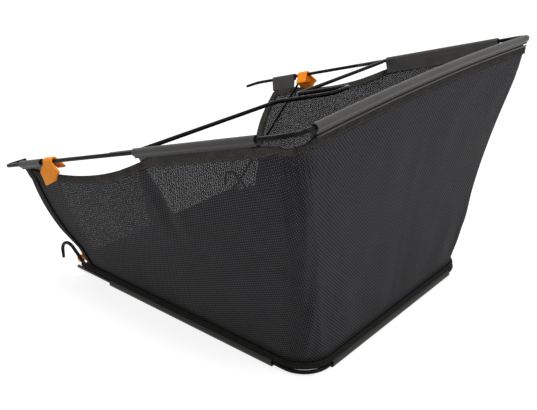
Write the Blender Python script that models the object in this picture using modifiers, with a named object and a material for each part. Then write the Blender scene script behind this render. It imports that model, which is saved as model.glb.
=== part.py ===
"""Grass box of a reel mower: an upper and a lower wire frame, a spreader wire and a bag of woven mesh.

Metres, +Z up. X runs across the mouth, -Y is the open front, the back wall is at +Y.
The floor is z = 0, under the flat bases of the lower channels.
"""
import math

import bmesh
import bpy
from mathutils import Matrix, Vector

# Fits
GAP = 0.0003                        # clearance between pieces that touch

# Wires
FRAME_WIRE = 0.005                  # diameter of the frames and of the hook bar
SPREADER_WIRE = 0.004               # diameter of the spreader

# Upper frame, measured on the wire's centre-line; "s" runs along an arm from its tip
UPPER_WIDTH = 0.498
UPPER_LENGTH = 0.4947
UPPER_TILT = math.radians(17.7)     # the arms rise to the back
UPPER_TIP_Y = -0.0339
UPPER_TIP_Z = 0.1707
UPPER_CORNER = 0.024
UPPER_CROWN = 0.0045                # rise of the back wire's middle
ARM_END = 0.030                     # the arm's free end, bent inward
ARM_END_BEND = 0.007

# Hook bar, welded beside the arms
HOOK_BAR_S = 0.2640                 # where the bar leaves the arm
HOOK_BAR_FOOT = 0.048               # length that lies along the arm
HOOK_BAR_VEE = 0.010                # how far the middle lies behind the feet
HOOK_LOOP_WIDTH = 0.042
HOOK_LOOP_LENGTH = 0.089
HOOK_LOOP_ROUND = 0.014
HOOK_BEND = 0.006

# Lower frame
LOWER_WIDTH = 0.356
LOWER_REAR_Y = 0.4045
LOWER_FRONT_Y = -0.0050
LOWER_CORNER = 0.036

# Mower hooks, welded inside the lower frame's wires
HOOK_ROOT_BACK_Y = 0.0450
HOOK_ROOT_Y = 0.0072                # where the hook starts to rise
HOOK_RISE = math.radians(40.2)
HOOK_REACH_Y = -0.0450              # the hook's foremost centre-line
HOOK_ROUND = 0.0160
HOOK_ROOT_BEND = 0.010
HOOK_TIP_Z = 0.0014

# Spreader: two struts and the cross wire at the bottom of the mouth
SPREADER_SIDE = 0.018               # from the lower side wire's line in to the strut's foot
SPREADER_Y = -0.0115
SPREADER_Z = 0.0095
SPREADER_BEND = 0.008
SPREADER_INSET = 0.0012             # the strut's top lies this far inside the arm

# Upper clips, saddles on the arms
CLIP_S = 0.1035
CLIP_LENGTH = 0.0175
CLIP_LEAN = math.radians(12)        # the legs lean in below the arm
CLIP_WALL = 0.0026
CLIP_INNER_LEG = 0.0163             # straight length of the splayed inner leg
CLIP_INNER_SPLAY = 25               # degrees between the two legs
CLIP_OUTER_LEG = 0.0120
TAB_DROP = 0.0275                   # the tab's tip below the arm
TAB_WIDTH = 0.0400
TAB_FLARE = math.radians(14)
TAB_THICKNESS = 0.0030

# Lower clips, troughs under the cross wire
TROUGH_LENGTH = 0.012
TROUGH_WALL = 0.0026
TROUGH_FRONT = 0.0035               # front wall above the wire's centre
TROUGH_BACK = 0.0002                # back wall above the wire's centre

# Upper channels: a split ring round the wire with two flared legs
HEM_WRAP = 0.0008                   # room for the hem between wire and ring
RING_WALL = 0.0012
LEG_WALL = 0.0010
LEG_DROP = 0.0054
LEG_KNEE = 0.0042
LEG_FLARE = 0.0006
FLANGE_DROP = 0.0190                # the flat inner flange, sewn to the bag
SHORT_START = 0.0374
SHORT_LENGTH = 0.0467
LONG_START = 0.2668
LONG_END_MARGIN = 0.0254            # from the channel's end to the corner bend
REAR_END_MARGIN = 0.0005

# Lower channels: flat-based rings, split at the top
LOWER_WRAP = 0.0008
LOWER_WALL = 0.0017
LOWER_FLAT = 0.0004                 # cut off the ring's underside
LOWER_START_Y = 0.0690
LOWER_SIDE_MARGIN = 0.0120          # from the side channel's end to the piping's corner
LOWER_REAR_MARGIN = 0.0010

# Bag
CLOTH = 0.0010
TAPE = 0.0008
TAPE_WIDTH = 0.0105
TAPE_LOW = 0.0200                   # least depth of its lower edge below the wire
BAG_SETBACK = 0.0065                # from the front channel's end to the bag's front edge
HANG_MARGIN = 0.0020                # the cloth hangs straight to this far below the channel
ROW_STEP = 0.0040                   # least spacing of the cloth's upper rows
SCALLOP = 0.0237                    # dip of the bag's edge between the side channels
SCALLOP_LEAD = 0.0043               # how far the dip starts ahead of the front channel
SCALLOP_TAIL = 0.0350               # how far it runs on inside the side channel
CORNER_DIP = 0.0070                 # dip of the edge round the upper corners
CORNER_TAIL = 0.0250                # how far it runs on inside the channels
WALL_BOW = 0.0040                   # inward sag of the walls
FRONT_FOOT_Y = 0.0190               # the wall's front edge at the floor panel
FRONT_BULGE = 0.0125                # forward bulge of the wall's front edge
FRONT_BULGE_SPAN = 0.80             # share of the wall's height that bulges
FRONT_STEP = 0.70                   # share of the wall's height at which its front edge steps back
FRONT_STEP_SPAN = 0.24
FRONT_FADE = 0.35                   # share of the arm over which that step and the sag fade
BINDING_WIDTH = 0.013
BINDING_TOP = 0.0215

# Seam piping round the floor panel
PIPING_TONGUE = 0.0016
PIPING_BEAD = 0.0017                # radius of the outer bead
PIPING_EDGE = 0.0009                # radius of the thin top bead
PIPING_GROOVE = 0.0006              # between the two beads
PIPING_CORNER = 0.040
PIPING_FRONT_Y = 0.0064
PANEL_NOTCH_Y = 0.0050              # front edge beside the clips
PANEL_CORNER = 0.004

# Sizes that follow
WIRE_R = FRAME_WIRE / 2
SPREADER_R = SPREADER_WIRE / 2
WELD = FRAME_WIRE + GAP             # spacing of wires that are welded side by side
UPPER_HALF = UPPER_WIDTH / 2
LOWER_HALF = LOWER_WIDTH / 2
RING_IN = WIRE_R + HEM_WRAP
RING_OUT = RING_IN + RING_WALL
SLOT_IN = CLOTH / 2 + GAP
SLOT_OUT = CLOTH / 2 + GAP + TAPE + GAP
LOWER_IN = WIRE_R + LOWER_WRAP
LOWER_OUT = LOWER_IN + LOWER_WALL
LOWER_Z = LOWER_OUT - LOWER_FLAT
LOWER_SLOT = PIPING_TONGUE / 2 + GAP
PANEL_Z = LOWER_Z + LOWER_OUT + GAP + CLOTH / 2
WALL_FOOT_Z = PANEL_Z + CLOTH / 2 + GAP
WALL_INSET = PIPING_TONGUE / 2 + GAP + CLOTH / 2
BEAD_RISE = LOWER_OUT + GAP + PIPING_BEAD
EDGE_RISE = BEAD_RISE + PIPING_BEAD + PIPING_GROOVE + PIPING_EDGE
KNEE_Z = LOWER_Z + EDGE_RISE + PIPING_EDGE + CLOTH
ARM_SPAN = UPPER_LENGTH - UPPER_CORNER
STRAIGHT = FLANGE_DROP + HANG_MARGIN
EDGE_DROP = WIRE_R + GAP
LONG_END = ARM_SPAN - LONG_END_MARGIN
SHORT_END = SHORT_START + SHORT_LENGTH
BAG_START = SHORT_START + BAG_SETBACK
UPPER_REAR_Y = UPPER_TIP_Y + UPPER_LENGTH * math.cos(UPPER_TILT)
FRONT_Y = HOOK_REACH_Y - WIRE_R
BACK_Y = UPPER_REAR_Y + RING_OUT
MIDDLE_Y = (FRONT_Y + BACK_Y) / 2
BAG_MIDDLE = Vector((0, MIDDLE_Y, UPPER_TIP_Z / 2))

for thing in list(bpy.data.objects):
    bpy.data.objects.remove(thing, do_unlink=True)

parts = bpy.data.collections.new("grass_box")
cutters = bpy.data.collections.new("cutters")
bpy.context.scene.collection.children.link(parts)
bpy.context.scene.collection.children.link(cutters)

root = bpy.data.objects.new("grass_box_origin", None)
root.location = (0, -MIDDLE_Y, 0)
parts.objects.link(root)


def material(name, colour, roughness, metallic=0.0):
    """A Principled material."""
    mat = bpy.data.materials.new(name)
    mat.use_nodes = True
    shader = mat.node_tree.nodes["Principled BSDF"]
    shader.inputs["Base Color"].default_value = (*colour, 1)
    shader.inputs["Roughness"].default_value = roughness
    shader.inputs["Metallic"].default_value = metallic
    return mat


BLACK_WIRE = material("black_wire", (0.012, 0.012, 0.013), 0.32, 0.4)
GREY_CHANNEL = material("grey_channel", (0.075, 0.071, 0.068), 0.45)
ORANGE = material("orange_plastic", (0.78, 0.22, 0.02), 0.38)
MESH_CLOTH = material("mesh_cloth", (0.030, 0.030, 0.033), 0.75)
HEM_TAPE = material("hem_tape", (0.042, 0.039, 0.032), 0.80)


def place(obj, mat, smooth_angle=None):
    """Put an object in the collection, on the shared origin."""
    parts.objects.link(obj)
    obj.parent = root
    obj.data.materials.append(mat)
    if smooth_angle and obj.type == "MESH":
        obj.data.shade_smooth()
        obj.data.set_sharp_from_angle(angle=math.radians(smooth_angle))
    return obj


def rounded(points, radii, steps=6):
    """A polyline whose inner corners are bent to the given radii."""
    points = [Vector(p) for p in points]
    path = [points[0]]
    for before, corner, after, radius in zip(points, points[1:], points[2:], radii):
        to_before = (before - corner).normalized()
        to_after = (after - corner).normalized()
        half = to_before.angle(to_after) / 2
        centre = corner + (to_before + to_after).normalized() * radius / math.sin(half)
        start = corner + to_before * radius / math.tan(half) - centre
        end = corner + to_after * radius / math.tan(half) - centre
        sweep_angle = start.angle(end)
        for i in range(steps + 1):
            a = sweep_angle * i / steps
            mix = (start * math.sin(sweep_angle - a) + end * math.sin(a)) / math.sin(sweep_angle)
            path.append(centre + mix)
    path.append(points[-1])
    return path


def poly_spline(curve, points, cyclic=False):
    """Add one straight-segment spline."""
    spline = curve.splines.new("POLY")
    spline.points.add(len(points) - 1)
    for target, source in zip(spline.points, points):
        target.co = (*Vector(source).to_3d(), 1)
    spline.use_cyclic_u = cyclic
    return spline


def wire(name, points, diameter, mat):
    """A round bent wire with flat ends."""
    curve = bpy.data.curves.new(name, "CURVE")
    curve.dimensions = "3D"
    curve.bevel_depth = diameter / 2
    curve.bevel_resolution = 4
    curve.use_fill_caps = True
    poly_spline(curve, points)
    return place(bpy.data.objects.new(name, curve), mat)


def section(name, outline):
    """A closed outline that other shapes are swept from, kept as a guide."""
    curve = bpy.data.curves.new(name, "CURVE")
    curve.dimensions = "2D"
    poly_spline(curve, list(reversed(outline)), cyclic=True)
    guide = bpy.data.objects.new(name, curve)
    guide.hide_render = True
    guide.display_type = "WIRE"
    cutters.objects.link(guide)
    return guide


def sweep(name, guide, points, tilt, mat):
    """Carry a section along a path; the section's +X points to the right of the way."""
    curve = bpy.data.curves.new(name, "CURVE")
    curve.dimensions = "3D"
    curve.twist_mode = "Z_UP"
    curve.bevel_mode = "OBJECT"
    curve.bevel_object = guide
    curve.use_fill_caps = True
    spline = poly_spline(curve, points)
    for point in spline.points:
        point.tilt = tilt
    return place(bpy.data.objects.new(name, curve), mat)


def plate(name, loops, thickness):
    """A flat outline in XY, with the given thickness about z = 0, as a mesh."""
    curve = bpy.data.curves.new(name, "CURVE")
    curve.dimensions = "2D"
    curve.fill_mode = "BOTH"
    curve.extrude = thickness / 2
    for loop in loops:
        poly_spline(curve, loop, cyclic=True)
    source = bpy.data.objects.new(name, curve)
    bpy.context.scene.collection.objects.link(source)
    bpy.context.view_layer.update()
    graph = bpy.context.evaluated_depsgraph_get()
    mesh = bpy.data.meshes.new_from_object(source.evaluated_get(graph))
    bpy.data.objects.remove(source)
    bpy.data.curves.remove(curve)
    bm = bmesh.new()
    bm.from_mesh(mesh)
    bmesh.ops.remove_doubles(bm, verts=bm.verts, dist=0.00001)
    bmesh.ops.recalc_face_normals(bm, faces=bm.faces)
    bm.to_mesh(mesh)
    bm.free()
    mesh.name = name
    return mesh


def arc(centre, radius, start, end, steps):
    """Points on an arc, in degrees."""
    angles = [math.radians(start + (end - start) * i / steps) for i in range(steps + 1)]
    return [(centre[0] + radius * math.cos(a), centre[1] + radius * math.sin(a)) for a in angles]


def arm_point(x, s, rise=0.0):
    """A point of the upper frame's plane, s along the arms and rise square to them."""
    y = UPPER_TIP_Y + s * math.cos(UPPER_TILT) - rise * math.sin(UPPER_TILT)
    z = UPPER_TIP_Z + s * math.sin(UPPER_TILT) + rise * math.cos(UPPER_TILT)
    return Vector((x, y, z))


def crown(x):
    """Rise of the back wire at x."""
    span = UPPER_HALF - UPPER_CORNER
    return UPPER_CROWN * max(0.0, 1 - (x / span) ** 2)


# Upper frame: one wire, open at the front, its ends bent inward
inner_x = UPPER_HALF - ARM_END
left_tip = [arm_point(-inner_x, 0), arm_point(-UPPER_HALF, 0)]
back_left = arm_point(-UPPER_HALF, UPPER_LENGTH)
back_right = arm_point(UPPER_HALF, UPPER_LENGTH)
right_tip = [arm_point(UPPER_HALF, 0), arm_point(inner_x, 0)]
bends = [ARM_END_BEND, UPPER_CORNER, UPPER_CORNER, ARM_END_BEND]
frame_path = rounded(left_tip + [back_left, back_right] + right_tip, bends)
back_wire = [arm_point(x, UPPER_LENGTH, crown(x))
             for x in [(UPPER_HALF - UPPER_CORNER) * k / 5 for k in range(-4, 5)]]
middle = len(frame_path) // 2
wire("upper_frame", frame_path[:middle] + back_wire + frame_path[middle:], FRAME_WIRE, BLACK_WIRE)

# Hook bar: feet along the arms, a cross bar and the long loop at its middle
foot_x = UPPER_HALF - WELD
foot_s = HOOK_BAR_S - HOOK_BAR_FOOT
loop_x = HOOK_LOOP_WIDTH / 2
loop_s = HOOK_BAR_S + HOOK_BAR_VEE
half_bar = [(foot_x, foot_s), (foot_x, HOOK_BAR_S), (loop_x, loop_s),
            (loop_x, loop_s + HOOK_LOOP_LENGTH)]
bar_points = ([arm_point(x, s) for x, s in half_bar]
              + [arm_point(-x, s) for x, s in reversed(half_bar)])
bar_bends = [HOOK_BEND, HOOK_BEND, HOOK_LOOP_ROUND, HOOK_LOOP_ROUND, HOOK_BEND, HOOK_BEND]
wire("hook_bar", rounded(bar_points, bar_bends), FRAME_WIRE, BLACK_WIRE)

# Lower frame: one wire, open at the front
lower_points = [(-LOWER_HALF, LOWER_FRONT_Y, LOWER_Z), (-LOWER_HALF, LOWER_REAR_Y, LOWER_Z),
                (LOWER_HALF, LOWER_REAR_Y, LOWER_Z), (LOWER_HALF, LOWER_FRONT_Y, LOWER_Z)]
wire("lower_frame", rounded(lower_points, [LOWER_CORNER, LOWER_CORNER]), FRAME_WIRE, BLACK_WIRE)

# Mower hooks: a wire beside each side wire that rises and curls forward and down
peak_z = LOWER_Z + (HOOK_ROOT_Y - HOOK_REACH_Y) * math.tan(HOOK_RISE)
for side, name in ((1, "mower_hook_right"), (-1, "mower_hook_left")):
    hook_x = side * (LOWER_HALF - WELD)
    hook_points = [(hook_x, HOOK_ROOT_BACK_Y, LOWER_Z), (hook_x, HOOK_ROOT_Y, LOWER_Z),
                   (hook_x, HOOK_REACH_Y, peak_z), (hook_x, HOOK_REACH_Y, HOOK_TIP_Z)]
    wire(name, rounded(hook_points, [HOOK_ROOT_BEND, HOOK_ROUND], 9), FRAME_WIRE, BLACK_WIRE)

# Spreader: up to the arms at both sides, across at the bottom of the mouth
strut_foot = Vector((LOWER_HALF - SPREADER_SIDE, SPREADER_Y, SPREADER_Z))
arm_above = arm_point(UPPER_HALF - SPREADER_INSET, CLIP_S)
strut_way = (arm_above - strut_foot).normalized()
strut_top = arm_above - strut_way * (WIRE_R + SPREADER_R + GAP)
mirrored = Vector((-1, 1, 1))
spreader_points = [strut_top, strut_foot, strut_foot * mirrored, strut_top * mirrored]
wire("spreader", rounded(spreader_points, [SPREADER_BEND, SPREADER_BEND]), SPREADER_WIRE, BLACK_WIRE)


def arm_axes(side, lean):
    """Axes at an upper arm: x outward, y away from the bag, z along the arm, leaning inward."""
    along = Vector((0, math.cos(UPPER_TILT), math.sin(UPPER_TILT)))
    square = Vector((0, -math.sin(UPPER_TILT), math.cos(UPPER_TILT)))
    out = Vector((side, 0, 0))
    up = square * math.cos(lean) + out * math.sin(lean)
    outward = out * math.cos(lean) - square * math.sin(lean)
    if side < 0:
        along = -along
    return Matrix((outward, up, -along)).transposed()


# Upper clips: a saddle over the arm and a finger tab on its outer leg
clip_in = WIRE_R + GAP
clip_out = clip_in + CLIP_WALL
splay = math.radians(CLIP_INNER_SPLAY)
leg_run = (-CLIP_INNER_LEG * math.sin(splay), -CLIP_INNER_LEG * math.cos(splay))
outside = arc((0, 0), clip_out, 0, 180 - CLIP_INNER_SPLAY, 9)
inside = arc((0, 0), clip_in, 180 - CLIP_INNER_SPLAY, 0, 9)
saddle = (outside + [(outside[-1][0] + leg_run[0], outside[-1][1] + leg_run[1]),
                     (inside[0][0] + leg_run[0], inside[0][1] + leg_run[1])]
          + inside + [(clip_in, -CLIP_OUTER_LEG), (clip_out, -CLIP_OUTER_LEG)])
tab_half = TAB_WIDTH / 2
neck_half = CLIP_LENGTH / 2
tab_outline = [(-neck_half, 0), (-tab_half, -0.33 * TAB_DROP), (-0.75 * tab_half, -TAB_DROP),
               (0.40 * tab_half, -0.80 * TAB_DROP), (0.60 * tab_half, -0.62 * TAB_DROP),
               (tab_half, -0.45 * TAB_DROP), (neck_half, 0)]
for side, name in ((1, "upper_clip_right"), (-1, "upper_clip_left")):
    axes = arm_axes(side, CLIP_LEAN)
    origin = arm_point(side * UPPER_HALF, CLIP_S)
    clip_mesh = plate(name, [saddle], CLIP_LENGTH)
    clip_mesh.transform(Matrix.Translation(origin) @ axes.to_4x4())
    clip = bpy.data.objects.new(name, clip_mesh)
    tab_mesh = plate(name + "_tab", [[(-side * u, v) for u, v in tab_outline]], TAB_THICKNESS)
    tab_turn = Matrix.Rotation(math.radians(-90), 4, "Y")
    hinge = Matrix.Translation((clip_in + TAB_THICKNESS / 2, 0, 0))
    flare = Matrix.Rotation(TAB_FLARE, 4, "Z")
    tab_mesh.transform(Matrix.Translation(origin) @ axes.to_4x4() @ hinge @ flare @ tab_turn)
    tab = bpy.data.objects.new(name + "_tab", tab_mesh)
    tab.hide_render = True
    tab.display_type = "WIRE"
    tab.parent = root
    cutters.objects.link(tab)
    place(clip, ORANGE)
    union = clip.modifiers.new("tab", "BOOLEAN")
    union.operation = "UNION"
    union.object = tab

# Lower clips: a trough under each end of the cross wire, its end against the mower hook
trough_in = SPREADER_R + GAP
trough_out = trough_in + TROUGH_WALL
trough = ([(-trough_out, TROUGH_FRONT), (-trough_out, 0)] + arc((0, 0), trough_out, 180, 360, 10)[1:]
          + [(trough_out, TROUGH_BACK), (trough_in, TROUGH_BACK)]
          + arc((0, 0), trough_in, 360, 180, 10) + [(-trough_in, TROUGH_FRONT)])
trough_end = LOWER_HALF - WELD - WIRE_R - GAP
for side, name in ((1, "lower_clip_right"), (-1, "lower_clip_left")):
    mesh = plate(name, [trough], TROUGH_LENGTH)
    turn = Matrix(((0, 0, 1), (1, 0, 0), (0, 1, 0))).to_4x4()
    centre = Matrix.Translation((side * (trough_end - TROUGH_LENGTH / 2), SPREADER_Y, SPREADER_Z))
    mesh.transform(centre @ turn)
    place(bpy.data.objects.new(name, mesh), ORANGE)


def wire_point(q):
    """The upper wire's centre and the outward direction; q 0..1 arm, 1..2 corner, 2..3 back."""
    if q <= 1:
        s = BAG_START + (ARM_SPAN - BAG_START) * q
        return arm_point(UPPER_HALF, s), Vector((1, 0, 0))
    if q <= 2:
        a = (q - 1) * math.pi / 2
        x = UPPER_HALF - UPPER_CORNER * (1 - math.cos(a))
        return arm_point(x, ARM_SPAN + UPPER_CORNER * math.sin(a)), Vector((math.cos(a), math.sin(a), 0))
    x = (UPPER_HALF - UPPER_CORNER) * (3 - q)
    return arm_point(x, UPPER_LENGTH, crown(x)), Vector((0, 1, 0))


def foot_point(q):
    """The wall's lower edge below wire_point(q)."""
    half = LOWER_HALF - WALL_INSET
    back = LOWER_REAR_Y - WALL_INSET
    bend = PIPING_CORNER - WALL_INSET
    if q <= 1:
        return Vector((half, FRONT_FOOT_Y + (back - bend - FRONT_FOOT_Y) * q, WALL_FOOT_Z))
    if q <= 2:
        a = (q - 1) * math.pi / 2
        return Vector((half - bend * (1 - math.cos(a)), back - bend * (1 - math.sin(a)), WALL_FOOT_Z))
    return Vector(((half - bend) * (3 - q), back, WALL_FOOT_Z))


def arm_q(s):
    """The q of a place s along the arm."""
    return (s - BAG_START) / (ARM_SPAN - BAG_START)


def knee_point(q):
    """Where the wall, upright behind the piping, starts to lean."""
    foot = foot_point(q)
    return Vector((foot.x, foot.y, KNEE_Z))


def natural_lean(q):
    """Lean of the straight line from the wire to the wall's knee."""
    top, outward = wire_point(q)
    drop = top - knee_point(q)
    return math.atan2(drop.dot(outward), drop.z)


SHORT_LEAN = natural_lean(arm_q((SHORT_START + SHORT_END) / 2))
LONG_LEAN = natural_lean(arm_q((LONG_START + LONG_END) / 2))
REAR_LEAN = natural_lean(3)
REAR_Q = 2 + REAR_END_MARGIN / (UPPER_HALF - UPPER_CORNER)
SCALLOP_FROM = arm_q(SHORT_START - SCALLOP_LEAD)
SCALLOP_TO = arm_q(LONG_START + SCALLOP_TAIL)
CORNER_FROM = arm_q(LONG_END - CORNER_TAIL)
CORNER_TO = REAR_Q + CORNER_TAIL / (UPPER_HALF - UPPER_CORNER)
LEANS = [(0, SHORT_LEAN), (arm_q(SHORT_END), SHORT_LEAN), (arm_q(LONG_START), LONG_LEAN),
         (arm_q(LONG_END), LONG_LEAN), (REAR_Q, REAR_LEAN), (3, REAR_LEAN)]


def lean_at(q):
    """Lean of the bag's edge, constant inside each channel."""
    for (q0, a0), (q1, a1) in zip(LEANS, LEANS[1:]):
        if q <= q1:
            return a0 + (a1 - a0) * (q - q0) / (q1 - q0)
    return REAR_LEAN


def dip(q, start, end, depth, power):
    """A smooth dip between two q values, rounder as the power falls."""
    if not start < q < end:
        return 0.0
    return depth * (1 - ((2 * q - start - end) / (end - start)) ** 2) ** power


def edge_drop(q):
    """Distance from the wire's centre down to the cloth's edge."""
    between = dip(q, SCALLOP_FROM, SCALLOP_TO, SCALLOP, 1)
    corner = dip(q, CORNER_FROM, CORNER_TO, CORNER_DIP, 0.5)
    return EDGE_DROP + between + corner


def hang(q):
    """The cloth's upper straight: its start, its direction and its outward side."""
    top, outward = wire_point(q)
    lean = lean_at(q)
    return top, -outward * math.sin(lean) - Vector((0, 0, math.cos(lean))), outward


def knee_depth(q):
    """Depth of the wall's knee below the wire."""
    top, down, outward = hang(q)
    return STRAIGHT + (knee_point(q) - top - down * STRAIGHT).length


def wall_point(q, depth):
    """A point of the wall's middle surface, depth below the wire along the cloth."""
    top, down, outward = hang(q)
    if depth <= STRAIGHT:
        return top + down * depth
    knee = knee_depth(q)
    if depth >= knee:
        return knee_point(q) - Vector((0, 0, depth - knee))
    t = (depth - STRAIGHT) / (knee - STRAIGHT)
    point = (top + down * STRAIGHT).lerp(knee_point(q), t)
    fade = max(0.0, 1 - q / FRONT_FADE) ** 2
    sag = WALL_BOW * math.sin(math.pi * t) ** 2 * (1 - fade)
    u = min(1.0, max(0.0, (t - FRONT_STEP) / FRONT_STEP_SPAN + 0.5))
    step = u * u * (3 - 2 * u) - t
    bulge = FRONT_BULGE * math.sin(math.pi * min(1.0, t / FRONT_BULGE_SPAN))
    swing = ((knee_point(q) - top - down * STRAIGHT).y * step - bulge) * fade
    return point - outward * sag + Vector((0, swing, 0))


def foot_depth(q):
    """Depth of the wall's foot below the wire."""
    return knee_depth(q) + KNEE_Z - WALL_FOOT_Z


def strip(name, columns, rows, thickness, offset, mat, side=0):
    """A cloth strip over one side's wall, or over both sides where side is 0.

    Columns are q values and rows(q) gives the depths.
    """
    bm = bmesh.new()
    turned = Vector((side or 1, 1, 1))
    grid = [[bm.verts.new(wall_point(q, depth) * turned) for depth in rows(q)] for q in columns]
    for left, right in zip(grid, grid[1:]):
        for a, b, c, d in zip(left, left[1:], right[1:], right):
            bm.faces.new((a, b, c, d))
    bmesh.ops.recalc_face_normals(bm, faces=bm.faces)
    bm.normal_update()
    middle_face = list(bm.faces)[len(bm.faces) // 2]
    if middle_face.normal.dot(middle_face.calc_center_median() - BAG_MIDDLE) < 0:
        bmesh.ops.reverse_faces(bm, faces=bm.faces)
    mesh = bpy.data.meshes.new(name)
    bm.to_mesh(mesh)
    bm.free()
    obj = place(bpy.data.objects.new(name, mesh), mat, 60)
    if not side:
        halves = obj.modifiers.new("halves", "MIRROR")
        halves.merge_threshold = 0.00001
    if offset:
        lift = obj.modifiers.new("lift", "DISPLACE")
        lift.mid_level = 0
        lift.strength = offset
    shell = obj.modifiers.new("cloth", "SOLIDIFY")
    shell.thickness = thickness
    shell.offset = 0
    return obj


short_q = [0, arm_q((BAG_START + SHORT_END) / 2), arm_q(SHORT_END)]
scallop_q = [arm_q(SHORT_END + (LONG_START - SHORT_END) * k / 9) for k in range(1, 9)]
long_q = [arm_q(LONG_START)] + [SCALLOP_TO + (CORNER_FROM - SCALLOP_TO) * k / 3 for k in range(4)]
corner_q = [arm_q(LONG_END), (arm_q(LONG_END) + 1) / 2] + [1 + k / 5 for k in range(6)]
rear_q = [REAR_Q, (REAR_Q + CORNER_TO) / 2, CORNER_TO] + [2 + k / 6 for k in range(2, 7)]
columns = short_q + scallop_q + long_q + corner_q + rear_q


def wall_rows(q):
    """Depths of the wall's rows: two at the edge, even ones to the knee, and the foot."""
    top = edge_drop(q)
    knee = knee_depth(q)
    near = max(STRAIGHT, top + ROW_STEP)
    return [top, near] + [near + (knee - near) * k / 9 for k in range(1, 10)] + [foot_depth(q)]


def tape_rows(q):
    """Depths of the hem tape's rows."""
    top = edge_drop(q)
    low = max(top + TAPE_WIDTH, TAPE_LOW)
    return [top, min(max(STRAIGHT, top + ROW_STEP), (top + low) / 2), low]


def binding_rows(q):
    """Depths of the front binding's rows."""
    knee = knee_depth(q)
    return [BINDING_TOP + (knee - BINDING_TOP) * k / 10 for k in range(11)] + [foot_depth(q)]


cloth_step = CLOTH / 2 + GAP + TAPE / 2
strip("mesh_wall", columns, wall_rows, CLOTH, 0, MESH_CLOTH)
strip("rim_tape", columns, tape_rows, TAPE, cloth_step, HEM_TAPE)
binding_q = [BINDING_WIDTH / (ARM_SPAN - BAG_START) * k / 2 for k in range(3)]
for side, name in ((1, "front_binding_right"), (-1, "front_binding_left")):
    strip(name, binding_q, binding_rows, TAPE, -cloth_step, HEM_TAPE, side)

# Upper channels
def ring_angle(u, radius):
    """Angle below the horizontal where a circle reaches u."""
    return math.degrees(math.acos(u / radius))


out_leg = SLOT_OUT + LEG_WALL
in_leg = SLOT_IN + LEG_WALL
channel_outline = (
    [(out_leg + LEG_FLARE, -LEG_DROP), (out_leg, -LEG_KNEE)]
    + arc((0, 0), RING_OUT, -ring_angle(out_leg, RING_OUT), 188, 16)
    + [(-in_leg, -FLANGE_DROP), (-SLOT_IN, -FLANGE_DROP)]
    + arc((0, 0), RING_IN, 180 + ring_angle(SLOT_IN, RING_IN), -ring_angle(SLOT_OUT, RING_IN), 14)
    + [(SLOT_OUT, -LEG_KNEE), (SLOT_OUT + LEG_FLARE, -LEG_DROP)])
channel_section = section("channel_section", channel_outline)


def arm_tilt(lean):
    """Turn about the arm that brings the section's legs along the cloth."""
    return math.atan2(math.sin(lean), math.cos(lean) * math.cos(UPPER_TILT))


for start, end, lean, title in ((SHORT_START, SHORT_END, SHORT_LEAN, "front_channel"),
                                (LONG_START, LONG_END, LONG_LEAN, "side_channel")):
    right = [arm_point(UPPER_HALF, start), arm_point(UPPER_HALF, end)]
    left = [arm_point(-UPPER_HALF, end), arm_point(-UPPER_HALF, start)]
    sweep(title + "_right", channel_section, right, arm_tilt(lean), GREY_CHANNEL)
    sweep(title + "_left", channel_section, left, arm_tilt(lean), GREY_CHANNEL)
rear_half = (UPPER_HALF - UPPER_CORNER) - REAR_END_MARGIN
rear_path = [arm_point(rear_half * k / 5, UPPER_LENGTH, crown(rear_half * k / 5)) for k in range(5, -6, -1)]
sweep("rear_channel", channel_section, rear_path, REAR_LEAN, GREY_CHANNEL)

# Lower channels
base_angle = math.degrees(math.asin(LOWER_Z / LOWER_OUT))
slot_out_angle = math.degrees(math.asin(LOWER_SLOT / LOWER_OUT))
slot_in_angle = math.degrees(math.asin(LOWER_SLOT / LOWER_IN))
lower_outline = (arc((0, 0), LOWER_OUT, 90 + slot_out_angle, 180 + base_angle, 8)
                 + arc((0, 0), LOWER_OUT, -base_angle, 90 - slot_out_angle, 8)
                 + arc((0, 0), LOWER_IN, 90 - slot_in_angle, -270 + slot_in_angle, 14))
lower_section = section("lower_section", lower_outline)
lower_end_y = LOWER_REAR_Y - PIPING_CORNER - LOWER_SIDE_MARGIN
sweep("lower_channel_right", lower_section,
      [(LOWER_HALF, LOWER_START_Y, LOWER_Z), (LOWER_HALF, lower_end_y, LOWER_Z)], 0, GREY_CHANNEL)
sweep("lower_channel_left", lower_section,
      [(-LOWER_HALF, lower_end_y, LOWER_Z), (-LOWER_HALF, LOWER_START_Y, LOWER_Z)], 0, GREY_CHANNEL)
lower_rear_half = LOWER_HALF - PIPING_CORNER - LOWER_REAR_MARGIN
sweep("lower_channel_rear", lower_section,
      [(lower_rear_half, LOWER_REAR_Y, LOWER_Z), (-lower_rear_half, LOWER_REAR_Y, LOWER_Z)], 0, GREY_CHANNEL)

# Floor panel: its front edge meets the cross wire between the clips
panel_half = LOWER_HALF - PIPING_TONGUE / 2 - GAP
panel_back = LOWER_REAR_Y - PIPING_TONGUE / 2 - GAP
panel_bend = PIPING_CORNER - PIPING_TONGUE / 2 - GAP
panel_front = SPREADER_Y + SPREADER_R + GAP
notch_x = trough_end - TROUGH_LENGTH - PANEL_CORNER
corner_loop = rounded([(0, panel_front, 0), (notch_x, panel_front, 0), (notch_x, PANEL_NOTCH_Y, 0),
                       (panel_half, PANEL_NOTCH_Y, 0), (panel_half, panel_back, 0), (0, panel_back, 0)],
                      [PANEL_CORNER, PANEL_CORNER, PANEL_CORNER, panel_bend])[1:-1]
panel_outline = corner_loop + [Vector((-p.x, p.y, 0)) for p in reversed(corner_loop)]
panel = plate("bottom_panel", [panel_outline], CLOTH)
panel.transform(Matrix.Translation((0, 0, PANEL_Z)))
place(bpy.data.objects.new("bottom_panel", panel), MESH_CLOTH)

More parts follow.
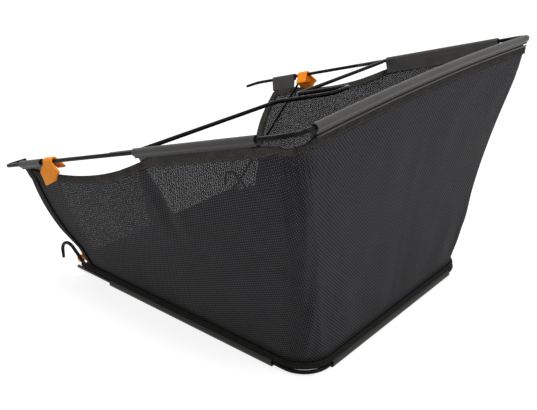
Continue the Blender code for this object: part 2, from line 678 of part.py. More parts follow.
# Seam piping: a tongue in the lower channels, an outer bead and a thin top bead
tongue_half = PIPING_TONGUE / 2
tongue_foot = WIRE_R + GAP
bead_x = PIPING_BEAD - tongue_half
edge_x = PIPING_EDGE - tongue_half
piping_outline = ([(-tongue_half, tongue_foot), (tongue_half, tongue_foot),
                   (tongue_half, BEAD_RISE - PIPING_BEAD)]
                  + arc((bead_x, BEAD_RISE), PIPING_BEAD, -60, 80, 6)
                  + arc((edge_x, EDGE_RISE), PIPING_EDGE, -50, 90, 5)
                  + [(-tongue_half, EDGE_RISE + PIPING_EDGE)])
piping_section = section("piping_section", piping_outline)
piping_points = [(LOWER_HALF, PIPING_FRONT_Y, LOWER_Z), (LOWER_HALF, LOWER_REAR_Y, LOWER_Z),
                 (-LOWER_HALF, LOWER_REAR_Y, LOWER_Z), (-LOWER_HALF, PIPING_FRONT_Y, LOWER_Z)]
sweep("seam_piping", piping_section, rounded(piping_points, [PIPING_CORNER, PIPING_CORNER], 8), 0, HEM_TAPE)
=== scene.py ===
"""Looks of the grass box: a woven mesh bag sewn into plastic channels on black wire frames.

Metres, in the row's frame: +X to the right, -Y is the open mouth, +Z up, the floor at z = 0.
"""
import bisect
import math

import bmesh
import bpy
from mathutils import Matrix, Vector, noise


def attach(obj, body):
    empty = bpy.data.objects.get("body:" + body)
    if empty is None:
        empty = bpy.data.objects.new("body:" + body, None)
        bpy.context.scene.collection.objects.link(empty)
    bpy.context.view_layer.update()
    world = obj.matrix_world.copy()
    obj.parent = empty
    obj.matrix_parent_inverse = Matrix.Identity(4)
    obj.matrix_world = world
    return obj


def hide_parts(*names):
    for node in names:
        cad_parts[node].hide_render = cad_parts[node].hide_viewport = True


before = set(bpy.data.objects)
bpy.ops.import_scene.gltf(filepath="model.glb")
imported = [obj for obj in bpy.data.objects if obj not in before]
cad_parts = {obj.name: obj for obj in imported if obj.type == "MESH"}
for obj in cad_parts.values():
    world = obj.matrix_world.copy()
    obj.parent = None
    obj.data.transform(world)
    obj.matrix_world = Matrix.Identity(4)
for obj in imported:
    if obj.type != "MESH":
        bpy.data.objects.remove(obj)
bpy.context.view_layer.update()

# Sizes of the frame, as the solids have them
GAP = 0.0003
FRAME_WIRE = 0.005
SPREADER_WIRE = 0.004
UPPER_WIDTH = 0.498
UPPER_LENGTH = 0.4947
UPPER_TILT = math.radians(17.7)
UPPER_TIP_Y = -0.0339
UPPER_TIP_Z = 0.1707
UPPER_CORNER = 0.024
UPPER_CROWN = 0.0045
ARM_END = 0.030
ARM_END_BEND = 0.007
HOOK_BAR_S = 0.2640
HOOK_BAR_FOOT = 0.048
HOOK_BAR_VEE = 0.010
HOOK_LOOP_WIDTH = 0.042
HOOK_LOOP_LENGTH = 0.089
HOOK_LOOP_ROUND = 0.014
HOOK_BEND = 0.006
LOWER_WIDTH = 0.356
LOWER_REAR_Y = 0.4045
LOWER_FRONT_Y = -0.0050
LOWER_CORNER = 0.036
HOOK_ROOT_BACK_Y = 0.0450
HOOK_ROOT_Y = 0.0072
HOOK_RISE = math.radians(40.2)
HOOK_REACH_Y = -0.0450
HOOK_ROUND = 0.0160
HOOK_ROOT_BEND = 0.010
HOOK_TIP_Z = 0.0014
SPREADER_SIDE = 0.018
SPREADER_Y = -0.0115
SPREADER_Z = 0.0095
SPREADER_BEND = 0.008
SPREADER_INSET = 0.0012
CLIP_S = 0.1035
CLIP_LENGTH = 0.0175
CLIP_LEAN = math.radians(12)
CLIP_WALL = 0.0026
CLIP_INNER_LEG = 0.0163
CLIP_INNER_SPLAY = 25
CLIP_OUTER_LEG = 0.0120
TAB_DROP = 0.0275
TAB_WIDTH = 0.0400
TAB_FLARE = math.radians(14)
TAB_THICKNESS = 0.0030
TROUGH_LENGTH = 0.012
TROUGH_WALL = 0.0026
TROUGH_FRONT = 0.0035
TROUGH_BACK = 0.0002
HEM_WRAP = 0.0008
RING_WALL = 0.0012
LEG_WALL = 0.0010
LEG_DROP = 0.0054
LEG_KNEE = 0.0042
LEG_FLARE = 0.0006
FLANGE_DROP = 0.0190
SHORT_START = 0.0374
SHORT_LENGTH = 0.0467
LONG_START = 0.2668
LONG_END_MARGIN = 0.0254
REAR_END_MARGIN = 0.0005
LOWER_WRAP = 0.0008
LOWER_WALL = 0.0017
LOWER_FLAT = 0.0004
LOWER_START_Y = 0.0690
LOWER_SIDE_MARGIN = 0.0120
LOWER_REAR_MARGIN = 0.0010
CLOTH = 0.0010
TAPE = 0.0008
TAPE_WIDTH = 0.0105
TAPE_LOW = 0.0200
BAG_SETBACK = 0.0065
HANG_MARGIN = 0.0020
SCALLOP = 0.0237
SCALLOP_LEAD = 0.0043
SCALLOP_TAIL = 0.0350
CORNER_DIP = 0.0070
CORNER_TAIL = 0.0250
WALL_BOW = 0.0040
FRONT_FOOT_Y = 0.0190
FRONT_BULGE = 0.0125
FRONT_BULGE_SPAN = 0.80
FRONT_STEP = 0.70
FRONT_STEP_SPAN = 0.24
FRONT_FADE = 0.35
BINDING_TOP = 0.0215
PIPING_TONGUE = 0.0016
PIPING_BEAD = 0.0017
PIPING_EDGE = 0.0009
PIPING_GROOVE = 0.0006
PIPING_CORNER = 0.040
PIPING_FRONT_Y = 0.0064
PANEL_NOTCH_Y = 0.0050
PANEL_CORNER = 0.004

WIRE_R = FRAME_WIRE / 2
SPREADER_R = SPREADER_WIRE / 2
WELD = FRAME_WIRE + GAP
UPPER_HALF = UPPER_WIDTH / 2
LOWER_HALF = LOWER_WIDTH / 2
RING_IN = WIRE_R + HEM_WRAP
RING_OUT = RING_IN + RING_WALL
SLOT_IN = CLOTH / 2 + GAP
SLOT_OUT = CLOTH / 2 + GAP + TAPE + GAP
LOWER_IN = WIRE_R + LOWER_WRAP
LOWER_OUT = LOWER_IN + LOWER_WALL
LOWER_Z = LOWER_OUT - LOWER_FLAT
LOWER_SLOT = PIPING_TONGUE / 2 + GAP
PANEL_Z = LOWER_Z + LOWER_OUT + GAP + CLOTH / 2
WALL_FOOT_Z = PANEL_Z + CLOTH / 2 + GAP
WALL_INSET = PIPING_TONGUE / 2 + GAP + CLOTH / 2
BEAD_RISE = LOWER_OUT + GAP + PIPING_BEAD
EDGE_RISE = BEAD_RISE + PIPING_BEAD + PIPING_GROOVE + PIPING_EDGE
KNEE_Z = LOWER_Z + EDGE_RISE + PIPING_EDGE + CLOTH
ARM_SPAN = UPPER_LENGTH - UPPER_CORNER
STRAIGHT = FLANGE_DROP + HANG_MARGIN
EDGE_DROP = WIRE_R + GAP
LONG_END = ARM_SPAN - LONG_END_MARGIN
SHORT_END = SHORT_START + SHORT_LENGTH
BAG_START = SHORT_START + BAG_SETBACK
UPPER_REAR_Y = UPPER_TIP_Y + UPPER_LENGTH * math.cos(UPPER_TILT)
MIDDLE_Y = (HOOK_REACH_Y - WIRE_R + UPPER_REAR_Y + RING_OUT) / 2
TO_ROW = Matrix.Translation((0, -MIDDLE_Y, 0))

SIDES = ((1, "right"), (-1, "left"))

# Sizes that only the looks have
WEAVE_PITCH = 0.0021
WEAVE_FILL = 0.84  # share of the pitch that a yarn covers
COATED_PITCH = 0.0012
COATED_FILL = 0.96
CORNER_SLUMP = 0.0048  # how much lower the loose hem hangs at the rear corners
CORNER_NARROW = 0.0030  # how much of the hem's width its folds take up there
CORNER_RIPPLE = 0.0012  # how much the hem's lower edge waves there
CORNER_FOLDS = 0.0012  # how far the hem stands off the mesh there
SCALLOP_FOLDS = 0.0005  # how far it stands off in the scallop
LIP_R = 0.0011  # rounded lip below the rear channel
LIP_DROP = 0.0082
HEM_LAYER = 0.0007  # thickness of the visible tape
HEM_END = 0.004  # q from a channel's end to the hem's inner turn
LEG_CLEAR = 0.0008  # gap between a channel's outer leg and the binding
FLANGE_CLEAR = 0.0006  # gap between its inner flange and the hem's inner turn
STITCH_PITCH = 0.0034
STITCH_LENGTH = 0.0024
STITCH_RISE = 0.0022  # height of the stitches above the hem's lower edge
THREAD_R = 0.00032
FLANGE_STITCH_PITCH = 0.0051
FLANGE_STITCH_DROP = 0.0150
BINDING_SEEN = 0.0103  # width of the visible binding
FRONT_TURN = 0.0101  # width of the hem's inner turn below the front channels
EDGE_CORD = 0.0007  # radius of the cord sewn along the binding's inner edge; its near-black colour is a painted shadow line
EDGE_CORD_DROP = 0.0060  # how far below the hem it starts
FRONT_CLOSE = 0.15  # q over which the right front's holes are closed, darkening it as painted shade
FOLD_TOP = 0.530  # q of the crease below the right side channel's front end
FOLD_FRONT = 0.030  # how far it spreads in q towards the front
FOLD_REAR = 0.062
FOLD_REACH = 0.30  # share of the wall over which it spreads
LONG_STEP = 0.02  # longest step along a channel
BILLOW = 0.0022  # how far the loose mesh stands out of its plain surface
FOLD_HOLLOW = 0.0030
FOLD_SWELL = 0.0016
PUCKER = 0.0009
CREASE = 0.0042
CREASE_HOLLOW = 0.0028
BEAD_R = 0.0013  # weld bead
BEAD_LENGTH = 0.009
BAR_BEAD_FOOT = 0.005  # where the beads start, from the ends of each joint
BAR_BEAD_HEAD = 0.016
HOOK_BEAD_FRONT = 0.006
HOOK_BEAD_BACK = 0.014
PANEL_SAG = 0.0012
PANEL_WAVE = 0.0010
PANEL_HELD = 0.03  # width over which the floor cloth's seam holds it flat
SADDLE_EDGE = 0.0005  # softened edges of the clips
TAB_EDGE = 0.0007
TAB_ROUND = 0.0014
TROUGH_EDGE = 0.0003

# Light and camera
FLOOR_BOUNCE = 0.55  # grey of the floor as a reflector
FLOOR_SEEN = 0.40  # grey of the floor as seen, under its glow
FLOOR_GLOW = 0.80
WORLD_FILL = 0.60
AZIMUTH = math.radians(129.84)
ELEVATION = math.radians(24.77)
CAMERA_TARGET = Vector((0, 0.197 - MIDDLE_Y, 0.0955))
CAMERA_DISTANCE = 1.0991
FOCAL_PIXELS = 800
IMAGE_PIXELS = 537
SENSOR = 36


# Materials

def add_node(tree, kind, inputs=(), **settings):
    """A node with its settings; an input is a value, or an output to link it to."""
    made = tree.nodes.new(kind)
    for key, value in settings.items():
        setattr(made, key, value)
    for key, value in dict(inputs).items():
        if isinstance(value, bpy.types.NodeSocket):
            tree.links.new(value, made.inputs[key])
        else:
            made.inputs[key].default_value = value
    return made


class Shader:
    """A surface material with short ways to add nodes."""

    def __init__(self, name, colour, roughness, **sockets):
        self.mat = bpy.data.materials.new(name)
        self.mat.use_nodes = True
        self.tree = self.mat.node_tree
        self.bsdf = self.tree.nodes["Principled BSDF"]
        self.bsdf.inputs["Base Color"].default_value = (*colour, 1)
        self.bsdf.inputs["Roughness"].default_value = roughness
        for key, value in sockets.items():
            self.bsdf.inputs[key.replace("_", " ")].default_value = value

    def link(self, source, target):
        self.tree.links.new(source, self.bsdf.inputs[target])

    def math(self, operation, *values):
        return add_node(self.tree, "ShaderNodeMath", enumerate(values), operation=operation).outputs[0]

    def coordinates(self, kind="Object", scale=(1, 1, 1)):
        where = add_node(self.tree, "ShaderNodeTexCoord").outputs[kind]
        return add_node(self.tree, "ShaderNodeMapping", {"Vector": where, "Scale": scale}).outputs[0]

    def noise(self, vector, scale, detail=3.0, roughness=0.5):
        inputs = {"Vector": vector, "Scale": scale, "Detail": detail, "Roughness": roughness}
        return add_node(self.tree, "ShaderNodeTexNoise", inputs).outputs["Fac"]

    def attribute(self, name):
        return add_node(self.tree, "ShaderNodeAttribute", attribute_name=name).outputs["Fac"]

    def blend(self, *parts):
        """Sum of values, each with its share."""
        total = None
        for value, share in parts:
            part = self.math("MULTIPLY", value, share)
            total = self.math("ADD", total, part) if total else part
        return total

    def base(self, factor, dark, light, start=0.3, end=0.7):
        """Colour the surface from dark to light."""
        ramp = add_node(self.tree, "ShaderNodeValToRGB", {"Fac": factor})
        for element, place, colour in zip(ramp.color_ramp.elements, (start, end), (dark, light)):
            element.position = place
            element.color = (*colour, 1)
        self.link(ramp.outputs["Color"], "Base Color")

    def rough(self, factor, low, high):
        """Vary the roughness from low to high."""
        spread = add_node(self.tree, "ShaderNodeMapRange", {"Value": factor, "To Min": low, "To Max": high})
        self.link(spread.outputs["Result"], "Roughness")

    def bump(self, height, strength, distance):
        """Raise the surface where height is great."""
        inputs = {"Height": height, "Strength": strength, "Distance": distance}
        self.link(add_node(self.tree, "ShaderNodeBump", inputs).outputs["Normal"], "Normal")


def wire_material():
    """Black powder coat: glossy, with a faint orange peel."""
    s = Shader("black_wire", (0.004, 0.004, 0.005), 0.14, Specular_IOR_Level=0.07)
    where = s.coordinates()
    cloud = s.noise(where, 60.0)
    s.base(cloud, (0.003, 0.003, 0.003), (0.008, 0.008, 0.009))
    s.rough(cloud, 0.10, 0.19)
    s.bump(s.noise(where, 500.0, 2.0), 0.10, 0.0002)
    return s.mat


def weld_material():
    """Coated weld: the same black, lumpier and duller."""
    s = Shader("weld", (0.012, 0.012, 0.012), 0.45, Specular_IOR_Level=0.35)
    where = s.coordinates()
    s.base(s.noise(where, 500.0), (0.009, 0.009, 0.009), (0.028, 0.027, 0.026))
    s.bump(s.noise(where, 1200.0), 0.5, 0.0004)
    return s.mat


def channel_material(name, dark, light, roughness):
    """Extruded plastic: fine lines along the length, soft blotches and a slight sheen."""
    s = Shader(name, dark, roughness, Specular_IOR_Level=0.30)
    lines = s.noise(s.coordinates("UV", (4.0, 2600.0, 1.0)), 1.0, 2.0)
    blotch = s.noise(s.coordinates("UV", (1.0, 1.0, 1.0)), 45.0, 4.0, 0.6)
    s.base(s.blend((lines, 0.45), (blotch, 0.55)), dark, light, 0.36, 0.64)
    s.rough(blotch, roughness - 0.07, roughness + 0.09)
    s.bump(lines, 0.35, 0.00015)
    return s.mat


def orange_material():
    """Moulded orange plastic with fine grain, paler where it is thin or rubbed."""
    s = Shader("orange_plastic", (0.70, 0.19, 0.012), 0.36, Specular_IOR_Level=0.14, Subsurface_Weight=0.05)
    s.bsdf.inputs["Subsurface Radius"].default_value = (0.004, 0.0015, 0.0004)
    where = s.coordinates()
    s.base(s.noise(where, 130.0, 4.0), (0.92, 0.235, 0.003), (1.0, 0.33, 0.008))
    s.rough(s.noise(where, 300.0), 0.28, 0.46)
    s.bump(s.noise(where, 1500.0, 2.0), 0.25, 0.0002)
    return s.mat


def across(s, t):
    """0 in the middle of a yarn, 1 midway between yarns."""
    return s.math("MULTIPLY", s.math("ABSOLUTE", s.math("SUBTRACT", s.math("FRACT", t), 0.5)), 2.0)


def yarn(s, along, index, fill, way):
    """Height of one set of round yarns, up and down over the other in turn."""
    inside = s.math("DIVIDE", across(s, index), fill)
    thickness = s.math("SUBTRACT", 1.0, s.math("MULTIPLY", inside, inside))
    turn = s.math("SINE", s.math("MULTIPLY", s.math("ADD", along, s.math("FLOOR", index)), math.pi))
    return s.math(way, thickness, s.math("MULTIPLY", turn, 0.9))


def weave_material(name, pitch, fill, dark, light, open_mesh):
    """Plain weave on the cloth's own flat coordinates, with real holes where it is open, painted highlights
    on the yarn crowns and painted shade towards the wall's foot.
    """
    s = Shader(name, dark, 0.62, Specular_IOR_Level=0.14)
    where = s.coordinates("UV", (1 / pitch, 1 / pitch, 1.0))
    u, v = add_node(s.tree, "ShaderNodeSeparateXYZ", {"Vector": where}).outputs[:2]
    warp = yarn(s, v, u, fill, "ADD")
    weft = yarn(s, u, v, fill, "SUBTRACT")
    # Yarn crowns painted light and their sides dark, the weft's crowns darker than the warp's: painted
    # highlight and shade on the weave.
    painted_crown_light = s.math("MAXIMUM", warp, s.math("MULTIPLY", weft, 0.72))
    fuzz = s.noise(s.coordinates("UV"), 1400.0, 2.0)
    cloud = s.noise(s.coordinates("UV"), 28.0, 4.0, 0.6)
    # The last term paints the cloth darker towards the wall's foot: painted shade along the seam.
    shade = s.blend((painted_crown_light, 0.42), (fuzz, 0.18), (cloud, 0.22), (s.attribute("painted_shade"), -0.07))
    s.base(shade, dark, light, 0.62, 0.90)
    s.rough(cloud, 0.60, 0.78)
    s.bump(s.math("MAXIMUM", warp, weft), 0.9, 0.0004)
    if open_mesh:
        cover = s.math("ADD", fill, s.math("MULTIPLY", s.attribute("closure_and_shade"), 1.01 - fill))
        gap_u = s.math("GREATER_THAN", across(s, u), cover)
        gap_v = s.math("GREATER_THAN", across(s, v), cover)
        s.link(s.math("SUBTRACT", 1.0, s.math("MULTIPLY", gap_u, gap_v)), "Alpha")
    return s.mat


def tape_material(name, dark, light, ribs):
    """Woven binding tape: fine ribs across it, painted darker where the mesh's holes are closed, towards
    the back and on the right half near the front: painted shade.
    """
    s = Shader(name, dark, 0.80, Specular_IOR_Level=0.12)
    where = s.coordinates("UV", (1.0, 1.0, 1.0))
    inputs = {"Vector": where, "Scale": ribs, "Distortion": 1.2, "Detail": 1.0}
    bands = {"wave_type": "BANDS", "bands_direction": "X"}
    wave = add_node(s.tree, "ShaderNodeTexWave", inputs, **bands).outputs["Fac"]
    cloud = s.noise(where, 60.0, 4.0, 0.6)
    grain = s.noise(where, 520.0, 3.0, 0.7)
    # The vertex attribute subtracted here paints the tape darker towards the back and on the right front:
    # painted shade.
    shade = s.blend((wave, 0.20), (cloud, 0.30), (grain, 0.50), (s.attribute("closure_and_shade"), -0.11))
    s.base(shade, dark, light, 0.41, 0.60)
    s.rough(cloud, 0.70, 0.90)
    s.bump(s.math("ADD", wave, grain), 0.6, 0.0005)
    return s.mat


def thread_material():
    """Sewing thread, a little paler than the tape, twisted."""
    s = Shader("thread", (0.05, 0.048, 0.042), 0.70)
    s.base(s.noise(s.coordinates(), 1800.0), (0.030, 0.028, 0.025), (0.085, 0.080, 0.070))
    return s.mat


WIRE = wire_material()
WELDS = weld_material()
RIM = channel_material("rim_channel", (0.025, 0.023, 0.022), (0.054, 0.051, 0.048), 0.40)
BASE = channel_material("base_channel", (0.006, 0.006, 0.005), (0.015, 0.014, 0.012), 0.42)
ORANGE = orange_material()
MESH = weave_material("mesh_cloth", WEAVE_PITCH, WEAVE_FILL,
                      (0.003, 0.003, 0.004), (0.094, 0.093, 0.099), True)
COATED = weave_material("coated_cloth", COATED_PITCH, COATED_FILL,
                        (0.006, 0.006, 0.006), (0.024, 0.023, 0.023), False)
TAPES = tape_material("binding_tape", (0.014, 0.013, 0.011), (0.104, 0.096, 0.083), 420.0)
# Near-black colour of the binding's edge cord: painted shadow line between binding and mesh.
SHADOW_LINE = tape_material("shadow_line_cord", (0.0015, 0.0015, 0.0015), (0.006, 0.006, 0.005), 500.0)
PIPING = tape_material("piping", (0.005, 0.0045, 0.0035), (0.024, 0.021, 0.016), 500.0)
THREAD = thread_material()


# Shapes

def add_object(name, data):
    """A new object in the scene."""
    obj = bpy.data.objects.new(name, data)
    bpy.context.scene.collection.objects.link(obj)
    return obj


def piece(name, mesh, mat, replaced=(), angle=None):
    """Make a mesh a piece of the scene, in the row's frame."""
    mesh.transform(TO_ROW)
    obj = add_object(name, mesh)
    mesh.materials.clear()
    mesh.materials.append(mat)
    mesh.shade_smooth()
    if angle:
        mesh.set_sharp_from_angle(angle=math.radians(angle))
    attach(obj, "root")
    if replaced:
        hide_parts(*replaced)
    return obj


def rounded(points, radii, steps=14):
    """A polyline whose inner corners are bent to the given radii."""
    points = [Vector(p) for p in points]
    path = [points[0]]
    for before, corner, after, radius in zip(points, points[1:], points[2:], radii):
        to_before = (before - corner).normalized()
        to_after = (after - corner).normalized()
        half = to_before.angle(to_after) / 2
        centre = corner + (to_before + to_after).normalized() * radius / math.sin(half)
        start = corner + to_before * radius / math.tan(half) - centre
        end = corner + to_after * radius / math.tan(half) - centre
        turn = start.angle(end)
        for i in range(steps + 1):
            a = turn * i / steps
            path.append(centre + (start * math.sin(turn - a) + end * math.sin(a)) / math.sin(turn))
    path.append(points[-1])
    return path


def arc(centre, radius, start, end, steps):
    """Points on an arc, in degrees."""
    angles = [math.radians(start + (end - start) * i / steps) for i in range(steps + 1)]
    return [(centre[0] + radius * math.cos(a), centre[1] + radius * math.sin(a)) for a in angles]


def split_long(path):
    """The same polyline with no step longer than LONG_STEP."""
    out = [path[0]]
    for a, b in zip(path, path[1:]):
        n = max(1, math.ceil((b - a).length / LONG_STEP))
        out += [a.lerp(b, k / n) for k in range(1, n + 1)]
    return out


def tube_stations(path, radius):
    """Centres along a tube with domed ends, each with its share of the radius."""
    first = (path[1] - path[0]).normalized()
    last = (path[-1] - path[-2]).normalized()
    dome = [(1 - math.cos(a), math.sin(a)) for a in map(math.radians, (12, 35, 60))]
    start = [(path[0] + first * radius * reach, share) for reach, share in dome]
    middle = [(p, 1.0) for p in path[1:-1] if min((p - path[0]).length, (p - path[-1]).length) > radius]
    end = [(path[-1] - last * radius * reach, share) for reach, share in reversed(dome)]
    return start + (middle or [(path[0].lerp(path[-1], 0.5), 1.0)]) + end


def add_ring(bm, centre, side, up, radius, count):
    """A ring of points round a centre."""
    turns = [2 * math.pi * k / count for k in range(count)]
    return [bm.verts.new(centre + (side * math.cos(t) + up * math.sin(t)) * radius) for t in turns]


def bridge(bm, rings):
    """Faces between closed rings of points, each ring with the next."""
    for low, high in zip(rings, rings[1:]):
        for k in range(len(low)):
            after = (k + 1) % len(low)
            bm.faces.new((low[k], low[after], high[after], high[k]))


def add_tube(bm, path, radius, sides=16, swell=None):
    """A tube with domed ends; swell(u) scales its radius along the way."""
    path = [Vector(p) for p in path]
    stations = tube_stations(path, radius)
    start_cap = bm.verts.new(path[0])
    end_cap = bm.verts.new(path[-1])
    before = (path[1] - path[0]).normalized()
    side = before.orthogonal().normalized()
    rings = []
    for i, (centre, share) in enumerate(stations):
        ahead = (stations[min(i + 1, len(stations) - 1)][0] - stations[max(i - 1, 0)][0]).normalized()
        side = before.rotation_difference(ahead) @ side
        side = (side - ahead * side.dot(ahead)).normalized()
        before = ahead
        grown = radius * share * (swell(i / (len(stations) - 1)) if swell else 1.0)
        rings.append(add_ring(bm, centre, side, ahead.cross(side), grown, sides))
    bridge(bm, rings)
    for k in range(sides):
        bm.faces.new((start_cap, rings[0][(k + 1) % sides], rings[0][k]))
        bm.faces.new((end_cap, rings[-1][k], rings[-1][(k + 1) % sides]))


def to_mesh(bm, name):
    """Close a bmesh into a mesh with outward faces."""
    bmesh.ops.recalc_face_normals(bm, faces=bm.faces)
    mesh = bpy.data.meshes.new(name)
    bm.to_mesh(mesh)
    bm.free()
    return mesh


def tube(name, points, radius, sides, mat, replaced=()):
    """A piece that is one tube."""
    bm = bmesh.new()
    add_tube(bm, points, radius, sides)
    return piece(name, to_mesh(bm, name), mat, replaced)


def wire(name, points, diameter, node):
    """A coated wire with domed ends in place of the solid one."""
    return tube(name, points, diameter / 2, 20, WIRE, (node,))


def lay_flat(face, uv, places):
    """Give a face's corners their flat coordinates."""
    for loop, place in zip(face.loops, places):
        loop[uv].uv = place


def outline_rings(bm, outline, path, tilt):
    """The outline's points at each place of a path, and how far along it each place lies."""
    rings, travelled = [], []
    for i, centre in enumerate(path):
        back = (centre - path[i - 1]).normalized() if i else None
        front = (path[i + 1] - centre).normalized() if i < len(path) - 1 else None
        ahead = ((back or front) + (front or back)).normalized()
        stretch = 1 / max(0.5, ahead.dot(front or back))
        right = ahead.cross(Vector((0, 0, 1))).normalized()
        up = right.cross(ahead)
        turned_right = right * math.cos(tilt) - up * math.sin(tilt)
        turned_up = right * math.sin(tilt) + up * math.cos(tilt)
        places = [centre + turned_right * x * stretch + turned_up * y for x, y in outline]
        rings.append([bm.verts.new(place) for place in places])
        travelled.append(travelled[-1] + (centre - path[i - 1]).length if i else 0.0)
    return rings, travelled


def swept(name, outline, path, tilt, mat, node, angle=35):
    """Carry an outline along a path, its +X to the right of the way, with flat coordinates."""
    bm = bmesh.new()
    uv = bm.loops.layers.uv.new("flat")
    rings, travelled = outline_rings(bm, outline, [Vector(p) for p in path], tilt)
    girth = [0.0]
    for a, b in zip(outline, outline[1:] + outline[:1]):
        girth.append(girth[-1] + math.dist(a, b))
    for low, high, here, there in zip(rings, rings[1:], travelled, travelled[1:]):
        for k in range(len(outline)):
            after = (k + 1) % len(outline)
            face = bm.faces.new((low[k], low[after], high[after], high[k]))
            flat = [(here, girth[k]), (here, girth[k + 1]), (there, girth[k + 1]), (there, girth[k])]
            lay_flat(face, uv, flat)
    for ring in (rings[0], rings[-1]):
        lay_flat(bm.faces.new(ring), uv, outline)
    bmesh.ops.triangulate(bm, faces=[f for f in bm.faces if len(f.verts) > 4])
    return piece(name, to_mesh(bm, name), mat, (node,), angle)


def add_cloth_faces(bm, uv, grid):
    """Faces between neighbouring lines of a grid of points, each with its flat place."""
    for left, right in zip(grid, grid[1:]):
        for corners in zip(left, left[1:], right[1:], right):
            face = bm.faces.new([vert for vert, place in corners])
            lay_flat(face, uv, [place for vert, place in corners])


def thicken(obj, thickness):
    """Give a cloth its thickness, half to each side."""
    shell = obj.modifiers.new("layer", "SOLIDIFY")
    shell.thickness = thickness
    shell.offset = 0


def arm_point(x, s, rise=0.0):
    """A point of the upper frame's plane, s along the arms and rise square to them."""
    y = UPPER_TIP_Y + s * math.cos(UPPER_TILT) - rise * math.sin(UPPER_TILT)
    z = UPPER_TIP_Z + s * math.sin(UPPER_TILT) + rise * math.cos(UPPER_TILT)
    return Vector((x, y, z))


def crown(x):
    """Rise of the back wire at x."""
    span = UPPER_HALF - UPPER_CORNER
    return UPPER_CROWN * max(0.0, 1 - (x / span) ** 2)


# Wires

inner_x = UPPER_HALF - ARM_END
frame_places = [(-inner_x, 0), (-UPPER_HALF, 0), (-UPPER_HALF, UPPER_LENGTH),
                (UPPER_HALF, UPPER_LENGTH), (UPPER_HALF, 0), (inner_x, 0)]
frame_path = rounded([arm_point(x, s) for x, s in frame_places],
                     [ARM_END_BEND, UPPER_CORNER, UPPER_CORNER, ARM_END_BEND])
back_wire = [arm_point(x, UPPER_LENGTH, crown(x))
             for x in [(UPPER_HALF - UPPER_CORNER) * k / 10 for k in range(-9, 10)]]
half_way = len(frame_path) // 2
frame_path[half_way:half_way] = back_wire
wire("upper_frame_wire", frame_path, FRAME_WIRE, "upper_frame")

foot_x = UPPER_HALF - WELD
foot_s = HOOK_BAR_S - HOOK_BAR_FOOT
loop_x = HOOK_LOOP_WIDTH / 2
loop_s = HOOK_BAR_S + HOOK_BAR_VEE
half_bar = [(foot_x, foot_s), (foot_x, HOOK_BAR_S), (loop_x, loop_s), (loop_x, loop_s + HOOK_LOOP_LENGTH)]
bar_points = [arm_point(x, s) for x, s in half_bar] + [arm_point(-x, s) for x, s in reversed(half_bar)]
bar_bends = [HOOK_BEND, HOOK_BEND, HOOK_LOOP_ROUND, HOOK_LOOP_ROUND, HOOK_BEND, HOOK_BEND]
wire("hook_bar_wire", rounded(bar_points, bar_bends), FRAME_WIRE, "hook_bar")

lower_points = [(-LOWER_HALF, LOWER_FRONT_Y, LOWER_Z), (-LOWER_HALF, LOWER_REAR_Y, LOWER_Z),
                (LOWER_HALF, LOWER_REAR_Y, LOWER_Z), (LOWER_HALF, LOWER_FRONT_Y, LOWER_Z)]
wire("lower_frame_wire", rounded(lower_points, [LOWER_CORNER, LOWER_CORNER]), FRAME_WIRE, "lower_frame")

peak_z = LOWER_Z + (HOOK_ROOT_Y - HOOK_REACH_Y) * math.tan(HOOK_RISE)
for side, hand in SIDES:
    hook_x = side * (LOWER_HALF - WELD)
    hook_points = [(hook_x, HOOK_ROOT_BACK_Y, LOWER_Z), (hook_x, HOOK_ROOT_Y, LOWER_Z),
                   (hook_x, HOOK_REACH_Y, peak_z), (hook_x, HOOK_REACH_Y, HOOK_TIP_Z)]
    node = "mower_hook_" + hand
    wire(node + "_wire", rounded(hook_points, [HOOK_ROOT_BEND, HOOK_ROUND]), FRAME_WIRE, node)

strut_foot = Vector((LOWER_HALF - SPREADER_SIDE, SPREADER_Y, SPREADER_Z))
arm_above = arm_point(UPPER_HALF - SPREADER_INSET, CLIP_S)
strut_top = arm_above - (arm_above - strut_foot).normalized() * (WIRE_R + SPREADER_R + GAP)
mirrored = Vector((-1, 1, 1))
wire("spreader_wire", rounded([strut_top, strut_foot, strut_foot * mirrored, strut_top * mirrored],
                              [SPREADER_BEND, SPREADER_BEND]), SPREADER_WIRE, "spreader")


def weld(bm, start, end, seed):
    """One lumpy bead between two wires."""
    path = [start.lerp(end, k / 8) for k in range(9)]
    add_tube(bm, path, BEAD_R, 10, lambda u: 1 + 0.18 * noise.noise(Vector((u * 9, seed, 0))))


welds = bmesh.new()
for side in (1, -1):
    seam_x = side * (UPPER_HALF - WELD / 2)
    for s in (foot_s + BAR_BEAD_FOOT, HOOK_BAR_S - BAR_BEAD_HEAD):
        for rise in (BEAD_R, -BEAD_R):
            end = arm_point(seam_x, s + BEAD_LENGTH, rise)
            weld(welds, arm_point(seam_x, s, rise), end, s + rise + side)
    seam_x = side * (LOWER_HALF - WELD / 2)
    for y in (HOOK_ROOT_Y + HOOK_BEAD_FRONT, HOOK_ROOT_BACK_Y - HOOK_BEAD_BACK):
        for z in (LOWER_Z + BEAD_R, LOWER_Z - BEAD_R):
            weld(welds, Vector((seam_x, y, z)), Vector((seam_x, y + BEAD_LENGTH, z)), y + z + side)
piece("weld_beads", to_mesh(welds, "weld_beads"), WELDS)


# The bag's surface, as the solids have it; q 0..1 arm, 1..2 corner, 2..3 back

def wire_point(q):
    """The upper wire's centre and the outward direction."""
    if q <= 1:
        return arm_point(UPPER_HALF, BAG_START + (ARM_SPAN - BAG_START) * q), Vector((1, 0, 0))
    if q <= 2:
        a = (q - 1) * math.pi / 2
        x = UPPER_HALF - UPPER_CORNER * (1 - math.cos(a))
        return arm_point(x, ARM_SPAN + UPPER_CORNER * math.sin(a)), Vector((math.cos(a), math.sin(a), 0))
    x = (UPPER_HALF - UPPER_CORNER) * (3 - q)
    return arm_point(x, UPPER_LENGTH, crown(x)), Vector((0, 1, 0))


